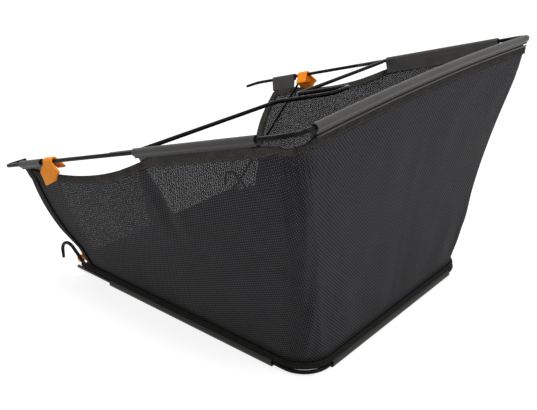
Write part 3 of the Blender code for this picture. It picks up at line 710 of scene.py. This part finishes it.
def foot_point(q):
    """The wall's lower edge below wire_point(q)."""
    half = LOWER_HALF - WALL_INSET
    back = LOWER_REAR_Y - WALL_INSET
    bend = PIPING_CORNER - WALL_INSET
    if q <= 1:
        return Vector((half, FRONT_FOOT_Y + (back - bend - FRONT_FOOT_Y) * q, WALL_FOOT_Z))
    if q <= 2:
        a = (q - 1) * math.pi / 2
        return Vector((half - bend * (1 - math.cos(a)), back - bend * (1 - math.sin(a)), WALL_FOOT_Z))
    return Vector(((half - bend) * (3 - q), back, WALL_FOOT_Z))


def arm_q(s):
    """The q of a place s along the arm."""
    return (s - BAG_START) / (ARM_SPAN - BAG_START)


def knee_point(q):
    """Where the wall, upright behind the piping, starts to lean."""
    foot = foot_point(q)
    return Vector((foot.x, foot.y, KNEE_Z))


def natural_lean(q):
    """Lean of the straight line from the wire to the wall's knee."""
    top, outward = wire_point(q)
    drop = top - knee_point(q)
    return math.atan2(drop.dot(outward), drop.z)


SHORT_LEAN = natural_lean(arm_q((SHORT_START + SHORT_END) / 2))
LONG_LEAN = natural_lean(arm_q((LONG_START + LONG_END) / 2))
REAR_LEAN = natural_lean(3)
REAR_Q = 2 + REAR_END_MARGIN / (UPPER_HALF - UPPER_CORNER)
SCALLOP_FROM = arm_q(SHORT_START - SCALLOP_LEAD)
SCALLOP_TO = arm_q(LONG_START + SCALLOP_TAIL)
CORNER_FROM = arm_q(LONG_END - CORNER_TAIL)
CORNER_TO = REAR_Q + CORNER_TAIL / (UPPER_HALF - UPPER_CORNER)
LEANS = [(0, SHORT_LEAN), (arm_q(SHORT_END), SHORT_LEAN), (arm_q(LONG_START), LONG_LEAN),
         (arm_q(LONG_END), LONG_LEAN), (REAR_Q, REAR_LEAN), (3, REAR_LEAN)]


def lean_at(q):
    """Lean of the bag's edge, constant inside each channel."""
    for (q0, a0), (q1, a1) in zip(LEANS, LEANS[1:]):
        if q <= q1:
            return a0 + (a1 - a0) * (q - q0) / (q1 - q0)
    return REAR_LEAN


def dip(q, start, end, depth, power):
    """A smooth dip between two q values, rounder as the power falls."""
    if not start < q < end:
        return 0.0
    return depth * (1 - ((2 * q - start - end) / (end - start)) ** 2) ** power


def edge_drop(q):
    """Distance from the wire's centre down to the cloth's edge."""
    between = dip(q, SCALLOP_FROM, SCALLOP_TO, SCALLOP, 1)
    corner = dip(q, CORNER_FROM, CORNER_TO, CORNER_DIP + CORNER_SLUMP, 0.5)
    return EDGE_DROP + between + corner


def hang(q):
    """The cloth's upper straight: its start, its direction and its outward side."""
    top, outward = wire_point(q)
    lean = lean_at(q)
    return top, -outward * math.sin(lean) - Vector((0, 0, math.cos(lean))), outward


def knee_depth(q):
    """Depth of the wall's knee below the wire."""
    top, down = hang(q)[:2]
    return STRAIGHT + (knee_point(q) - top - down * STRAIGHT).length


def smooth(t):
    """Ease from 0 to 1."""
    t = min(1.0, max(0.0, t))
    return t * t * (3 - 2 * t)


def bell(t):
    """A soft bump, 1 at 0 and nothing beyond 1."""
    return math.cos(min(1.0, abs(t)) * math.pi / 2) ** 2


def slack(q, depth, knee):
    """How far the loose cloth stands out of its plain surface: folds, puckers and a faint billow."""
    t = (depth - STRAIGHT) / (knee - STRAIGHT)
    if t <= 0:
        return 0.0
    held = smooth(t / 0.12) * smooth((1 - t) / 0.10)
    along = q * ARM_SPAN
    billow = BILLOW * noise.noise(Vector((along * 9, depth * 11, 3.0)))
    fold_centre = arm_q(LONG_START) + 0.020 + 0.10 * t
    fold = -FOLD_HOLLOW * bell((q - fold_centre) / 0.035) * bell((t - 0.22) / 0.30)
    fold += FOLD_SWELL * bell((q - fold_centre - 0.055) / 0.035) * bell((t - 0.25) / 0.32)
    pull = PUCKER * math.sin(along * 260 + depth * 90) * bell((q - 1.5) / 0.9) * smooth((0.30 - t) / 0.3)
    crease_q = 1.45 + 0.75 * (1 - t)
    crease = CREASE * bell((q - crease_q) / 0.16) * smooth((t - 0.62) / 0.2)
    crease -= CREASE_HOLLOW * bell((q - crease_q + 0.24) / 0.2) * smooth((t - 0.66) / 0.2)
    return held * (billow + fold + crease) + smooth(t / 0.05) * pull


def wall_point(q, depth, offset=0.0, loose=True):
    """A point of the wall, depth below the wire along the cloth, offset outward from its middle."""
    top, down, outward = hang(q)
    square = (outward + down * -down.dot(outward)).normalized()
    if depth <= STRAIGHT:
        return top + down * depth + square * offset
    knee = knee_depth(q)
    if depth >= knee:
        return knee_point(q) - Vector((0, 0, depth - knee)) + outward * offset
    t = (depth - STRAIGHT) / (knee - STRAIGHT)
    point = (top + down * STRAIGHT).lerp(knee_point(q), t)
    fade = max(0.0, 1 - q / FRONT_FADE) ** 2
    sag = WALL_BOW * math.sin(math.pi * t) ** 2 * (1 - fade)
    step = smooth((t - FRONT_STEP) / FRONT_STEP_SPAN + 0.5) - t
    bulge = FRONT_BULGE * math.sin(math.pi * min(1.0, t / FRONT_BULGE_SPAN))
    swing = ((knee_point(q) - top - down * STRAIGHT).y * step - bulge) * fade
    out = offset - sag + (slack(q, depth, knee) * (1 - bell(q / 0.16)) if loose else 0.0)
    return point + outward * out + Vector((0, swing, 0))


def foot_depth(q):
    """Depth of the wall's foot below the wire."""
    return knee_depth(q) + KNEE_Z - WALL_FOOT_Z


def spaced(low, high, count):
    """Even values from low to high."""
    return [low + (high - low) * k / count for k in range(count + 1)]


half_columns = (spaced(0, SCALLOP_TO, 66) + spaced(SCALLOP_TO, CORNER_FROM, 28)[1:]
                + spaced(CORNER_FROM, 1, 14)[1:] + spaced(1, 2, 26)[1:] + spaced(2, CORNER_TO, 7)[1:]
                + spaced(CORNER_TO, 3, 42)[1:])
ALL_COLUMNS = [(q, 1) for q in half_columns] + [(q, -1) for q in reversed(half_columns[:-1])]


def unrolled():
    """Flat places of each half column's top and knee, as the cloth was cut, from the back's middle."""
    tops = {3: Vector((0, 0))}
    knees = {3: Vector((0, -knee_depth(3)))}
    for later, q in zip(reversed(half_columns), list(reversed(half_columns))[1:]):
        top, knee = wire_point(q)[0], knee_point(q)
        old_top, old_knee = wire_point(later)[0], knee_point(later)
        tops[q] = third_corner(tops[later], knees[later], (top - old_top).length, (top - old_knee).length)
        knees[q] = third_corner(tops[q], knees[later], (knee - top).length, (knee - old_knee).length)
    return tops, knees


def third_corner(a, b, from_a, from_b):
    """The corner of a flat triangle on the right of the way from b up to a."""
    base = b - a
    along = (from_a ** 2 - from_b ** 2 + base.length_squared) / (2 * base.length)
    off = math.sqrt(max(0.0, from_a ** 2 - along ** 2))
    way = base.normalized()
    return a + way * along + Vector((-way.y, way.x)) * off


FLAT_TOPS, FLAT_KNEES = unrolled()


def flat_place(q, side, depth):
    """Where a point of the cloth lay before it was sewn."""
    k = min(max(bisect.bisect_right(half_columns, q) - 1, 0), len(half_columns) - 2)
    low, high = half_columns[k], half_columns[k + 1]
    share = (q - low) / (high - low)
    top = FLAT_TOPS[low].lerp(FLAT_TOPS[high], share)
    knee = FLAT_KNEES[low].lerp(FLAT_KNEES[high], share)
    place = top.lerp(knee, depth / knee_depth(q))
    return Vector((place.x * side, place.y))


def mesh_closure_and_shade(q, side, depth):
    """0 where the mesh's holes are open, 1 where they close: towards the back on both halves and, on the
    right half only, near the front, along the crease below the side channel's front end and partly ahead of
    it. The right half's closed holes darken the mesh as painted shade, and the binding tape is painted
    darker by the same value.
    """
    back = smooth((q - 1.15) / 0.8)
    if side < 0 or q > 1:
        return back
    share = max(0.0, (depth - TAPE_LOW) / (knee_depth(q) - TAPE_LOW))
    # Right half only: holes closed near the front, along the crease and partly ahead of it, darkening the
    # mesh there as painted shade.
    front = 1 - smooth((q - 0.45 * FRONT_CLOSE) / (0.55 * FRONT_CLOSE))
    spread = min(1.0, share / FOLD_REACH)
    from_front = q - (FOLD_TOP - 0.012 - FOLD_FRONT * spread)
    from_rear = FOLD_TOP + 0.012 + FOLD_REAR * spread - q
    crease = smooth(from_front / 0.030 + 0.5) * smooth(from_rear / 0.012 + 0.5)
    shade_ahead_of_fold = 0.40 * smooth((FOLD_TOP - q) / 0.03 + 0.5)
    return max(back, front, crease, shade_ahead_of_fold)


def painted_foot_shade(q, depth):
    """How much darker the cloth is painted towards its foot: painted shade along the seam, and fainter
    painted shade over the wall's lower part.
    """
    share = (depth - STRAIGHT) / (knee_depth(q) - STRAIGHT)
    return 0.5 * smooth((share - 0.35) / 0.6) + 2.2 * smooth((share - 0.965) / 0.03)


def cloth(name, runs, rows, offset, mat, replaced=(), thickness=0.0):
    """A cloth over the wall: rows(q) gives its depths, offset(q, depth) how far it stands out."""
    bm = bmesh.new()
    uv = bm.loops.layers.uv.new("flat")
    closure_and_shade = bm.verts.layers.float.new("closure_and_shade")
    painted_shade = bm.verts.layers.float.new("painted_shade")
    for columns in runs:
        grid = []
        for q, side in columns:
            turned = Vector((side, 1, 1))
            column = []
            for depth in rows(q):
                vert = bm.verts.new(wall_point(q, depth, offset(q, depth)) * turned)
                vert[closure_and_shade] = mesh_closure_and_shade(q, side, depth)
                vert[painted_shade] = painted_foot_shade(q, depth)
                column.append((vert, flat_place(q, side, depth)))
            grid.append(column)
        add_cloth_faces(bm, uv, grid)
    obj = piece(name, to_mesh(bm, name), mat, replaced)
    if thickness:
        thicken(obj, thickness)
    return obj


def run_length(runs, depth_at):
    """Flat length of strips of cloth along their upper edges."""
    total = 0.0
    for columns in runs:
        places = [flat_place(q, side, depth_at(q)) for q, side in columns]
        total += sum((b - a).length for a, b in zip(places, places[1:]))
    return total


def wall_rows(q):
    """Depths of the mesh's rows."""
    top = edge_drop(q)
    near = max(STRAIGHT, top + 0.004)
    knee = knee_depth(q)
    return [top, (top + near) / 2] + [near + (knee - near) * k / 54 for k in range(55)] + [foot_depth(q)]


bag = cloth("mesh_bag", [ALL_COLUMNS], wall_rows, lambda q, depth: 0.0, MESH, ("mesh_wall",))


# Hem tape, folded over the mesh's edge; inside, it is made only where no channel hides it

HEM_OUT = CLOTH / 2 + GAP + TAPE / 2
ON_MESH = CLOTH / 2 + GAP / 2 + HEM_LAYER / 2
FREE_SPANS = [(arm_q(SHORT_END), arm_q(LONG_START)), (arm_q(LONG_END), REAR_Q)]


def loose_share(q, span):
    """1 where no channel holds the hem, down to 0 at the channels' ends."""
    start, end = span
    return smooth(min(q - start, end - q) / 0.06) if start < q < end else 0.0


def hem_rows(q):
    """Depths of the hem's rows, a little uneven round the rear corners."""
    top = edge_drop(q)
    loose = loose_share(q, FREE_SPANS[1])
    ripple = CORNER_RIPPLE * math.sin(q * 31) * math.sin(q * 13 + 0.5) - CORNER_NARROW
    return spaced(top, max(top + TAPE_WIDTH, TAPE_LOW) + loose * ripple, 7)


def stand_off(q, depth):
    """How far the hem waves away from the mesh."""
    low = smooth((depth - edge_drop(q)) / 0.009)
    folds = 0.6 + 0.4 * math.sin(q * 17 + 1) * math.sin(q * 29)
    corner = CORNER_FOLDS * loose_share(q, FREE_SPANS[1]) * folds * (1 + math.sin(q * 37 + depth * 300)) / 2
    between = SCALLOP_FOLDS * loose_share(q, FREE_SPANS[0]) * (1 + math.sin(q * 71)) / 2
    return low * (corner + between)


def tape(name, runs, rows, offset, replaced=()):
    """A strip of tape over the mesh."""
    return cloth(name, runs, rows, offset, TAPES, replaced, HEM_LAYER)


def mirrored_runs(spans, count):
    """Runs of columns over q spans, on both halves."""
    return [[(q, side) for q in spaced(start, end, count)] for side in (1, -1) for start, end in spans]


hem_outside = tape("hem_outside", [ALL_COLUMNS], hem_rows,
                   lambda q, depth: HEM_OUT + stand_off(q, depth), ("rim_tape",))
inner_spans = [(start + HEM_END, end - HEM_END) for start, end in FREE_SPANS]
inner_runs = mirrored_runs(inner_spans, 50)
hem_inside = tape("hem_inside", inner_runs, hem_rows, lambda q, depth: -ON_MESH - stand_off(q, depth))


# Front bindings: a tape folded round each front edge

binding_end = BINDING_SEEN / (ARM_SPAN - BAG_START)
binding_columns = spaced(0, binding_end, 4)


def binding_rows(q):
    """Depths of the front binding's rows."""
    on_hem = spaced(LEG_DROP + LEG_CLEAR, TAPE_LOW, 6)
    return on_hem + spaced(TAPE_LOW, knee_depth(q), 40)[1:] + [foot_depth(q)]


def inner_binding_rows(q):
    """Depths of its inner turn, which starts below the channel's flange."""
    return spaced(BINDING_TOP, knee_depth(q), 40) + [foot_depth(q)]


def over_hem(q, depth):
    """The binding's middle: outside the hem's tape, then on the mesh."""
    on_hem = HEM_OUT + HEM_LAYER + 0.0001
    return on_hem + (ON_MESH - on_hem) * smooth((depth - TAPE_LOW - 0.001) / 0.004)


def on_inside(q, depth):
    """The inner turn's middle."""
    return -ON_MESH


for side, hand in SIDES:
    runs = [[(q, side) for q in binding_columns]]
    outer = tape("binding_outside_" + hand, runs, binding_rows, over_hem)
    inner = tape("binding_inside_" + hand, runs, inner_binding_rows, on_inside, ("front_binding_" + hand,))
    # The cord along the binding's inner edge is coloured near black as a painted shadow line.
    edge_q = binding_end + EDGE_CORD / (ARM_SPAN - BAG_START)
    edge_depths = [depth for depth in binding_rows(edge_q) if depth > TAPE_LOW + EDGE_CORD_DROP]
    edge_path = [wall_point(edge_q, depth, CLOTH / 2 + GAP + EDGE_CORD) * Vector((side, 1, 1))
                 for depth in edge_depths]
    shadow_line_cord = tube("binding_shadow_line_" + hand, edge_path, EDGE_CORD, 10, SHADOW_LINE)
    for turn, parts in ((outer, [shadow_line_cord]), (inner, [])):
        top_depth = (binding_rows if turn == outer else inner_binding_rows)(0)[0]
        edge_points = [wall_point(0, depth) for depth in spaced(top_depth, foot_depth(0), 40)]


# The hem's inner turn, seen below the front channels' flanges

turn_top = FLANGE_DROP + FLANGE_CLEAR
turn_runs = mirrored_runs([(binding_end + 0.002, arm_q(SHORT_END) - 0.002)], 12)
front_turn = tape("hem_inside_front", turn_runs, lambda q: spaced(turn_top, turn_top + FRONT_TURN, 3),
                  on_inside)
run_length(turn_runs, lambda q: turn_top)


# Stitches

def stitch_row(bm, points, square, pitch):
    """Short thread dashes along a polyline; square(k) points out of the cloth."""
    done = 0.0
    due = pitch / 2
    for k, (a, b) in enumerate(zip(points, points[1:])):
        length = (b - a).length
        while done + length >= due and length > 0:
            centre = a.lerp(b, (due - done) / length)
            add_stitch(bm, centre, (b - a).normalized(), square(k))
            due += pitch
        done += length


def add_stitch(bm, centre, way, out):
    """One dash of thread, pinched at both ends."""
    across_way = way.cross(out).normalized()
    rings = []
    for u, size, lift in ((-0.5, 0.45, -0.6), (-0.22, 1.0, 0.2), (0.22, 1.0, 0.2), (0.5, 0.45, -0.6)):
        middle = centre + way * STITCH_LENGTH * u + out * THREAD_R * lift
        rings.append(add_ring(bm, middle, across_way, out, THREAD_R * size, 6))
    bridge(bm, rings)
    bm.faces.new(rings[0])
    bm.faces.new(rings[-1])


def wall_stitches(name, runs, depth_at, offset_at, pitch=STITCH_PITCH):
    """Rows of stitches along the wall."""
    bm = bmesh.new()
    for columns in runs:
        points, outs = [], []
        for q, side in columns:
            turned = Vector((side, 1, 1))
            offset = offset_at(q)
            points.append(wall_point(q, depth_at(q), offset) * turned)
            outs.append(hang(q)[2] * turned * (1 if offset > 0 else -1))
        stitch_row(bm, points, lambda k: outs[k], pitch)
    return piece(name, to_mesh(bm, name), THREAD)


def stitch_depth(q):
    """Depth of the hem's stitches, near its lower edge."""
    return hem_rows(q)[-1] - STITCH_RISE


def out_of_hem(q):
    """The outer face of the hem at its stitches."""
    return HEM_OUT + HEM_LAYER / 2 + stand_off(q, stitch_depth(q))


def into_hem(q):
    """The inner face of the hem at its stitches."""
    return -ON_MESH - HEM_LAYER / 2 - stand_off(q, stitch_depth(q))


outer_stitches = wall_stitches("hem_stitches_outside", [ALL_COLUMNS], stitch_depth, out_of_hem)
inner_stitches = wall_stitches("hem_stitches_inside", inner_runs, stitch_depth, into_hem)
run_length([ALL_COLUMNS], edge_drop)
run_length(inner_runs, edge_drop)


# Upper channels

def ring_angle(u, radius):
    """Angle below the horizontal where a circle reaches u."""
    return math.degrees(math.acos(u / radius))


out_leg = SLOT_OUT + LEG_WALL
in_leg = SLOT_IN + LEG_WALL
channel_outline = (
    [(out_leg + LEG_FLARE, -LEG_DROP), (out_leg, -LEG_KNEE)]
    + arc((0, 0), RING_OUT, -ring_angle(out_leg, RING_OUT), 188, 28)
    + [(-in_leg, -FLANGE_DROP), (-SLOT_IN, -FLANGE_DROP)]
    + arc((0, 0), RING_IN, 180 + ring_angle(SLOT_IN, RING_IN), -ring_angle(SLOT_OUT, RING_IN), 20)
    + [(SLOT_OUT, -LEG_KNEE), (SLOT_OUT + LEG_FLARE, -LEG_DROP)])


def arm_tilt(lean):
    """Turn about the arm that brings the legs along the cloth."""
    return math.atan2(math.sin(lean), math.cos(lean) * math.cos(UPPER_TILT))


for start, end, lean, title in ((SHORT_START, SHORT_END, SHORT_LEAN, "front_channel"),
                                (LONG_START, LONG_END, LONG_LEAN, "side_channel")):
    for side, hand in SIDES:
        ends = (start, end)[::side]
        run = split_long([arm_point(side * UPPER_HALF, s) for s in ends])
        node = title + "_" + hand
        swept(node + "_extrusion", channel_outline, run, arm_tilt(lean), RIM, node)
rear_half = (UPPER_HALF - UPPER_CORNER) - REAR_END_MARGIN
rear_xs = [rear_half * k / 12 for k in range(12, -13, -1)]
rear_run = [arm_point(x, UPPER_LENGTH, crown(x)) for x in rear_xs]
swept("rear_channel_extrusion", channel_outline, rear_run, REAR_LEAN, RIM, "rear_channel")

flange_spans = [(arm_q(SHORT_START + 0.009), arm_q(SHORT_END - 0.002)),
                (arm_q(LONG_START + 0.002), arm_q(LONG_END - 0.002)), (REAR_Q + 0.01, 3)]
wall_stitches("flange_stitches", mirrored_runs(flange_spans, 30), lambda q: FLANGE_STITCH_DROP,
              lambda q: -in_leg, FLANGE_STITCH_PITCH)

lip_offset = HEM_OUT + HEM_LAYER / 2 + GAP + LIP_R
lip_half = [wall_point(q, LIP_DROP, lip_offset) for q in spaced(REAR_Q + 0.006, 3, 16)]
lip_path = lip_half + [p * mirrored for p in reversed(lip_half[:-1])]
tube("rear_channel_lip", lip_path, LIP_R, 12, RIM)


# Lower channels

base_angle = math.degrees(math.asin(LOWER_Z / LOWER_OUT))
slot_out_angle = math.degrees(math.asin(LOWER_SLOT / LOWER_OUT))
slot_in_angle = math.degrees(math.asin(LOWER_SLOT / LOWER_IN))
lower_outline = (arc((0, 0), LOWER_OUT, 90 + slot_out_angle, 180 + base_angle, 14)
                 + arc((0, 0), LOWER_OUT, -base_angle, 90 - slot_out_angle, 14)
                 + arc((0, 0), LOWER_IN, 90 - slot_in_angle, -270 + slot_in_angle, 22))
lower_end_y = LOWER_REAR_Y - PIPING_CORNER - LOWER_SIDE_MARGIN
for side, hand in SIDES:
    ends = (LOWER_START_Y, lower_end_y)[::side]
    run = split_long([Vector((side * LOWER_HALF, y, LOWER_Z)) for y in ends])
    node = "lower_channel_" + hand
    swept(node + "_extrusion", lower_outline, run, 0, BASE, node)
lower_rear_half = LOWER_HALF - PIPING_CORNER - LOWER_REAR_MARGIN
run = split_long([Vector((x, LOWER_REAR_Y, LOWER_Z)) for x in (lower_rear_half, -lower_rear_half)])
swept("lower_channel_rear_extrusion", lower_outline, run, 0, BASE, "lower_channel_rear")


# Seam piping

tongue_half = PIPING_TONGUE / 2
bead_x = PIPING_BEAD - tongue_half
edge_x = PIPING_EDGE - tongue_half
piping_outline = ([(-tongue_half, WIRE_R + GAP), (tongue_half, WIRE_R + GAP),
                   (tongue_half, BEAD_RISE - PIPING_BEAD)]
                  + arc((bead_x, BEAD_RISE), PIPING_BEAD, -60, 80, 10)
                  + arc((edge_x, EDGE_RISE), PIPING_EDGE, -50, 90, 7)
                  + [(-tongue_half, EDGE_RISE + PIPING_EDGE)])
piping_points = [(LOWER_HALF, PIPING_FRONT_Y, LOWER_Z), (LOWER_HALF, LOWER_REAR_Y, LOWER_Z),
                 (-LOWER_HALF, LOWER_REAR_Y, LOWER_Z), (-LOWER_HALF, PIPING_FRONT_Y, LOWER_Z)]
piping_run = split_long(rounded(piping_points, [PIPING_CORNER, PIPING_CORNER], 20))
swept("piping", piping_outline, piping_run, 0, PIPING, "seam_piping", 60)


# Floor panel

panel_half = LOWER_HALF - PIPING_TONGUE / 2 - GAP
panel_back = LOWER_REAR_Y - PIPING_TONGUE / 2 - GAP
panel_bend = PIPING_CORNER - PIPING_TONGUE / 2 - GAP
panel_front = SPREADER_Y + SPREADER_R + GAP
trough_end = LOWER_HALF - WELD - WIRE_R - GAP
notch_x = trough_end - TROUGH_LENGTH - PANEL_CORNER


def panel_width(y):
    """Half of the panel's width at y."""
    wide = notch_x + (panel_half - notch_x) * smooth((y - PANEL_NOTCH_Y) / PANEL_CORNER + 0.5)
    past = y - (panel_back - panel_bend)
    if past > 0:
        return panel_half - panel_bend + math.sqrt(max(0.0, panel_bend ** 2 - past ** 2))
    return wide


def floor_panel():
    """The coated cloth floor, hanging slack inside its seam."""
    bm = bmesh.new()
    uv = bm.loops.layers.uv.new("flat")
    notch_end = PANEL_NOTCH_Y + PANEL_CORNER
    ys = (spaced(panel_front, notch_end, 10) + spaced(notch_end, panel_back - panel_bend, 40)[1:]
          + [panel_back - panel_bend * (1 - math.sin(math.pi * k / 24)) for k in range(1, 13)])
    grid = []
    for y in ys:
        wide = panel_width(y)
        held = smooth((panel_back - y) / PANEL_HELD) * smooth((y - panel_front) / PANEL_HELD)
        row = []
        for x in (wide * k / 28 for k in range(-28, 29)):
            drop = PANEL_SAG + PANEL_WAVE * noise.noise(Vector((x * 14, y * 12, 1.7)))
            drop *= held * smooth((wide - abs(x)) / PANEL_HELD)
            row.append((bm.verts.new((x, y, PANEL_Z - drop)), (x, y)))
        grid.append(row)
    add_cloth_faces(bm, uv, grid)
    obj = piece("floor_cloth", to_mesh(bm, "floor_cloth"), COATED, ("bottom_panel",))
    thicken(obj, CLOTH)
    return obj


floor_cloth = floor_panel()


# Clips

def arm_axes(side, lean):
    """Axes at an upper arm: x outward, y away from the bag, z along the arm, leaning inward."""
    along = Vector((0, math.cos(UPPER_TILT), math.sin(UPPER_TILT)))
    square = Vector((0, -math.sin(UPPER_TILT), math.cos(UPPER_TILT)))
    out = Vector((side, 0, 0))
    up = square * math.cos(lean) + out * math.sin(lean)
    outward = out * math.cos(lean) - square * math.sin(lean)
    if side < 0:
        along = -along
    return Matrix((outward, up, -along)).transposed()


def add_plate(bm, outline, thickness, matrix, edge=0.0):
    """A flat plate with softened edges, its outline in XY."""
    layers = [(-0.5, edge), (-0.5 + edge / thickness, 0.0), (0.5 - edge / thickness, 0.0), (0.5, edge)]
    rings = []
    for z, inset in layers:
        ring = []
        for k, p in enumerate(outline):
            here = Vector(p)
            back = (here - Vector(outline[k - 1])).normalized()
            front = (Vector(outline[(k + 1) % len(outline)]) - here).normalized()
            inward = Vector((-back.y, back.x)) + Vector((-front.y, front.x))
            inward = inward.normalized() / max(0.4, math.sqrt((1 + back.dot(front)) / 2))
            ring.append(bm.verts.new(matrix @ Vector((*(here + inward * inset), z * thickness))))
        rings.append(ring)
    bridge(bm, rings)
    caps = [bm.faces.new(rings[0]), bm.faces.new(rings[-1])]
    bmesh.ops.triangulate(bm, faces=caps)


clip_in = WIRE_R + GAP
clip_out = clip_in + CLIP_WALL
splay = math.radians(CLIP_INNER_SPLAY)
leg_run = Vector((-CLIP_INNER_LEG * math.sin(splay), -CLIP_INNER_LEG * math.cos(splay)))
outside = arc((0, 0), clip_out, 0, 180 - CLIP_INNER_SPLAY, 16)
inside = arc((0, 0), clip_in, 180 - CLIP_INNER_SPLAY, 0, 14)
leg_tip = [tuple(Vector(outside[-1]) + leg_run), tuple(Vector(inside[0]) + leg_run)]
saddle = outside + leg_tip + inside + [(clip_in, -CLIP_OUTER_LEG), (clip_out, -CLIP_OUTER_LEG)]
tab_half = TAB_WIDTH / 2
neck_half = CLIP_LENGTH / 2
tab_corners = [(-neck_half, 0), (-tab_half, -0.33 * TAB_DROP), (-0.75 * tab_half, -TAB_DROP),
               (0.40 * tab_half, -0.80 * TAB_DROP), (0.60 * tab_half, -0.62 * TAB_DROP),
               (tab_half, -0.45 * TAB_DROP), (neck_half, 0)]


def soft_corners(points, radius):
    """A closed outline with its corners rounded."""
    loop = [Vector((*p, 0)) for p in points]
    first = (loop[0] + loop[-1]) / 2
    bent = rounded([first] + loop + [first], [radius] * len(loop), 4)
    return [(p.x, p.y) for p in bent[1:-1]]


tab_outline = soft_corners(tab_corners, TAB_ROUND)
for side, hand in SIDES:
    node = "upper_clip_" + hand
    axes = Matrix.Translation(arm_point(side * UPPER_HALF, CLIP_S)) @ arm_axes(side, CLIP_LEAN).to_4x4()
    bm = bmesh.new()
    add_plate(bm, saddle, CLIP_LENGTH, axes, SADDLE_EDGE)
    lift = Matrix.Translation((clip_in + TAB_THICKNESS / 2, 0, 0))
    tab_axes = axes @ lift @ Matrix.Rotation(TAB_FLARE, 4, "Z") @ Matrix.Rotation(math.radians(-90), 4, "Y")
    turned = [(-side * u, v) for u, v in tab_outline][::-side]
    add_plate(bm, turned, TAB_THICKNESS, tab_axes, TAB_EDGE)
    piece("upper_clip_body_" + hand, to_mesh(bm, node), ORANGE, (node,), 30)

trough_in = SPREADER_R + GAP
trough_out = trough_in + TROUGH_WALL
trough = ([(-trough_out, TROUGH_FRONT), (-trough_out, 0)] + arc((0, 0), trough_out, 180, 360, 18)[1:]
          + [(trough_out, TROUGH_BACK), (trough_in, TROUGH_BACK)]
          + arc((0, 0), trough_in, 360, 180, 18) + [(-trough_in, TROUGH_FRONT)])
for side, hand in SIDES:
    node = "lower_clip_" + hand
    turn = Matrix(((0, 0, 1), (1, 0, 0), (0, 1, 0))).to_4x4()
    centre = Matrix.Translation((side * (trough_end - TROUGH_LENGTH / 2), SPREADER_Y, SPREADER_Z))
    bm = bmesh.new()
    add_plate(bm, trough, TROUGH_LENGTH, centre @ turn, TROUGH_EDGE)
    piece("lower_clip_body_" + hand, to_mesh(bm, node), ORANGE, (node,), 35)


# Stage, light and camera

def split_rays(tree, plain, seen, output):
    """Show one shader to camera, glossy and transmission rays, and the plain one to the rest."""
    path = add_node(tree, "ShaderNodeLightPath").outputs
    share = path["Is Camera Ray"]
    for kind in ("Is Glossy Ray", "Is Transmission Ray"):
        share = add_node(tree, "ShaderNodeMath", {0: share, 1: path[kind]}, operation="MAXIMUM").outputs[0]
    mix = add_node(tree, "ShaderNodeMixShader", {0: share, 1: plain, 2: seen})
    add_node(tree, output, {"Surface": mix.outputs[0]})


def bare_tree(owner):
    """The emptied node tree of a material or world."""
    owner.use_nodes = True
    owner.node_tree.nodes.clear()
    return owner.node_tree


def grey_shader(tree, grey):
    """A plain matt grey."""
    return add_node(tree, "ShaderNodeBsdfDiffuse", {"Color": (grey, grey, grey, 1)}).outputs[0]


def white_stage():
    """A pale floor that keeps the shadow and reads white to the camera and in gloss."""
    bm = bmesh.new()
    bmesh.ops.create_grid(bm, x_segments=1, y_segments=1, size=12)
    mesh = bpy.data.meshes.new("studio_floor")
    bm.to_mesh(mesh)
    bm.free()
    mat = bpy.data.materials.new("studio_floor")
    tree = bare_tree(mat)
    glow = add_node(tree, "ShaderNodeEmission", {"Strength": FLOOR_GLOW}).outputs[0]
    seen = add_node(tree, "ShaderNodeAddShader", {0: grey_shader(tree, FLOOR_SEEN), 1: glow}).outputs[0]
    split_rays(tree, grey_shader(tree, FLOOR_BOUNCE), seen, "ShaderNodeOutputMaterial")
    mesh.materials.append(mat)
    add_object("studio_floor", mesh)


def studio_world():
    """Even light all round, white to the camera."""
    world = bpy.data.worlds.new("studio")
    bpy.context.scene.world = world
    tree = bare_tree(world)
    fill = {"Color": (0.96, 0.98, 1.0, 1), "Strength": WORLD_FILL}
    white = {"Color": (1, 1, 1, 1), "Strength": 1.0}
    plain, seen = [add_node(tree, "ShaderNodeBackground", inputs).outputs[0] for inputs in (fill, white)]
    split_rays(tree, plain, seen, "ShaderNodeOutputWorld")


def softbox(name, place, aim, size, power):
    """A square area lamp that looks at a point."""
    data = bpy.data.lights.new(name, "AREA")
    data.size = size
    data.energy = power
    lamp = add_object(name, data)
    lamp.location = place
    lamp.rotation_euler = (Vector(place) - Vector(aim)).to_track_quat("Z", "Y").to_euler()


def add_camera():
    """The camera at the photograph's viewing angle."""
    level = math.cos(ELEVATION)
    back = Vector((math.sin(AZIMUTH) * level, -math.cos(AZIMUTH) * level, math.sin(ELEVATION)))
    lens = bpy.data.cameras.new("camera")
    lens.sensor_fit = "HORIZONTAL"
    lens.sensor_width = SENSOR
    lens.lens = SENSOR * FOCAL_PIXELS / IMAGE_PIXELS
    camera = add_object("camera", lens)
    camera.location = CAMERA_TARGET + back * CAMERA_DISTANCE
    camera.rotation_euler = back.to_track_quat("Z", "Y").to_euler()
    bpy.context.scene.camera = camera


white_stage()
studio_world()
softbox("overhead_softbox", (0.3, 0.2, 2.2), (0, 0, 0.1), 0.7, 22)
softbox("rear_softbox", (-0.15, 1.15, 1.0), (0, 0, 0.25), 0.5, 5.2)
add_camera()
bpy.context.scene.view_settings.view_transform = "Standard"
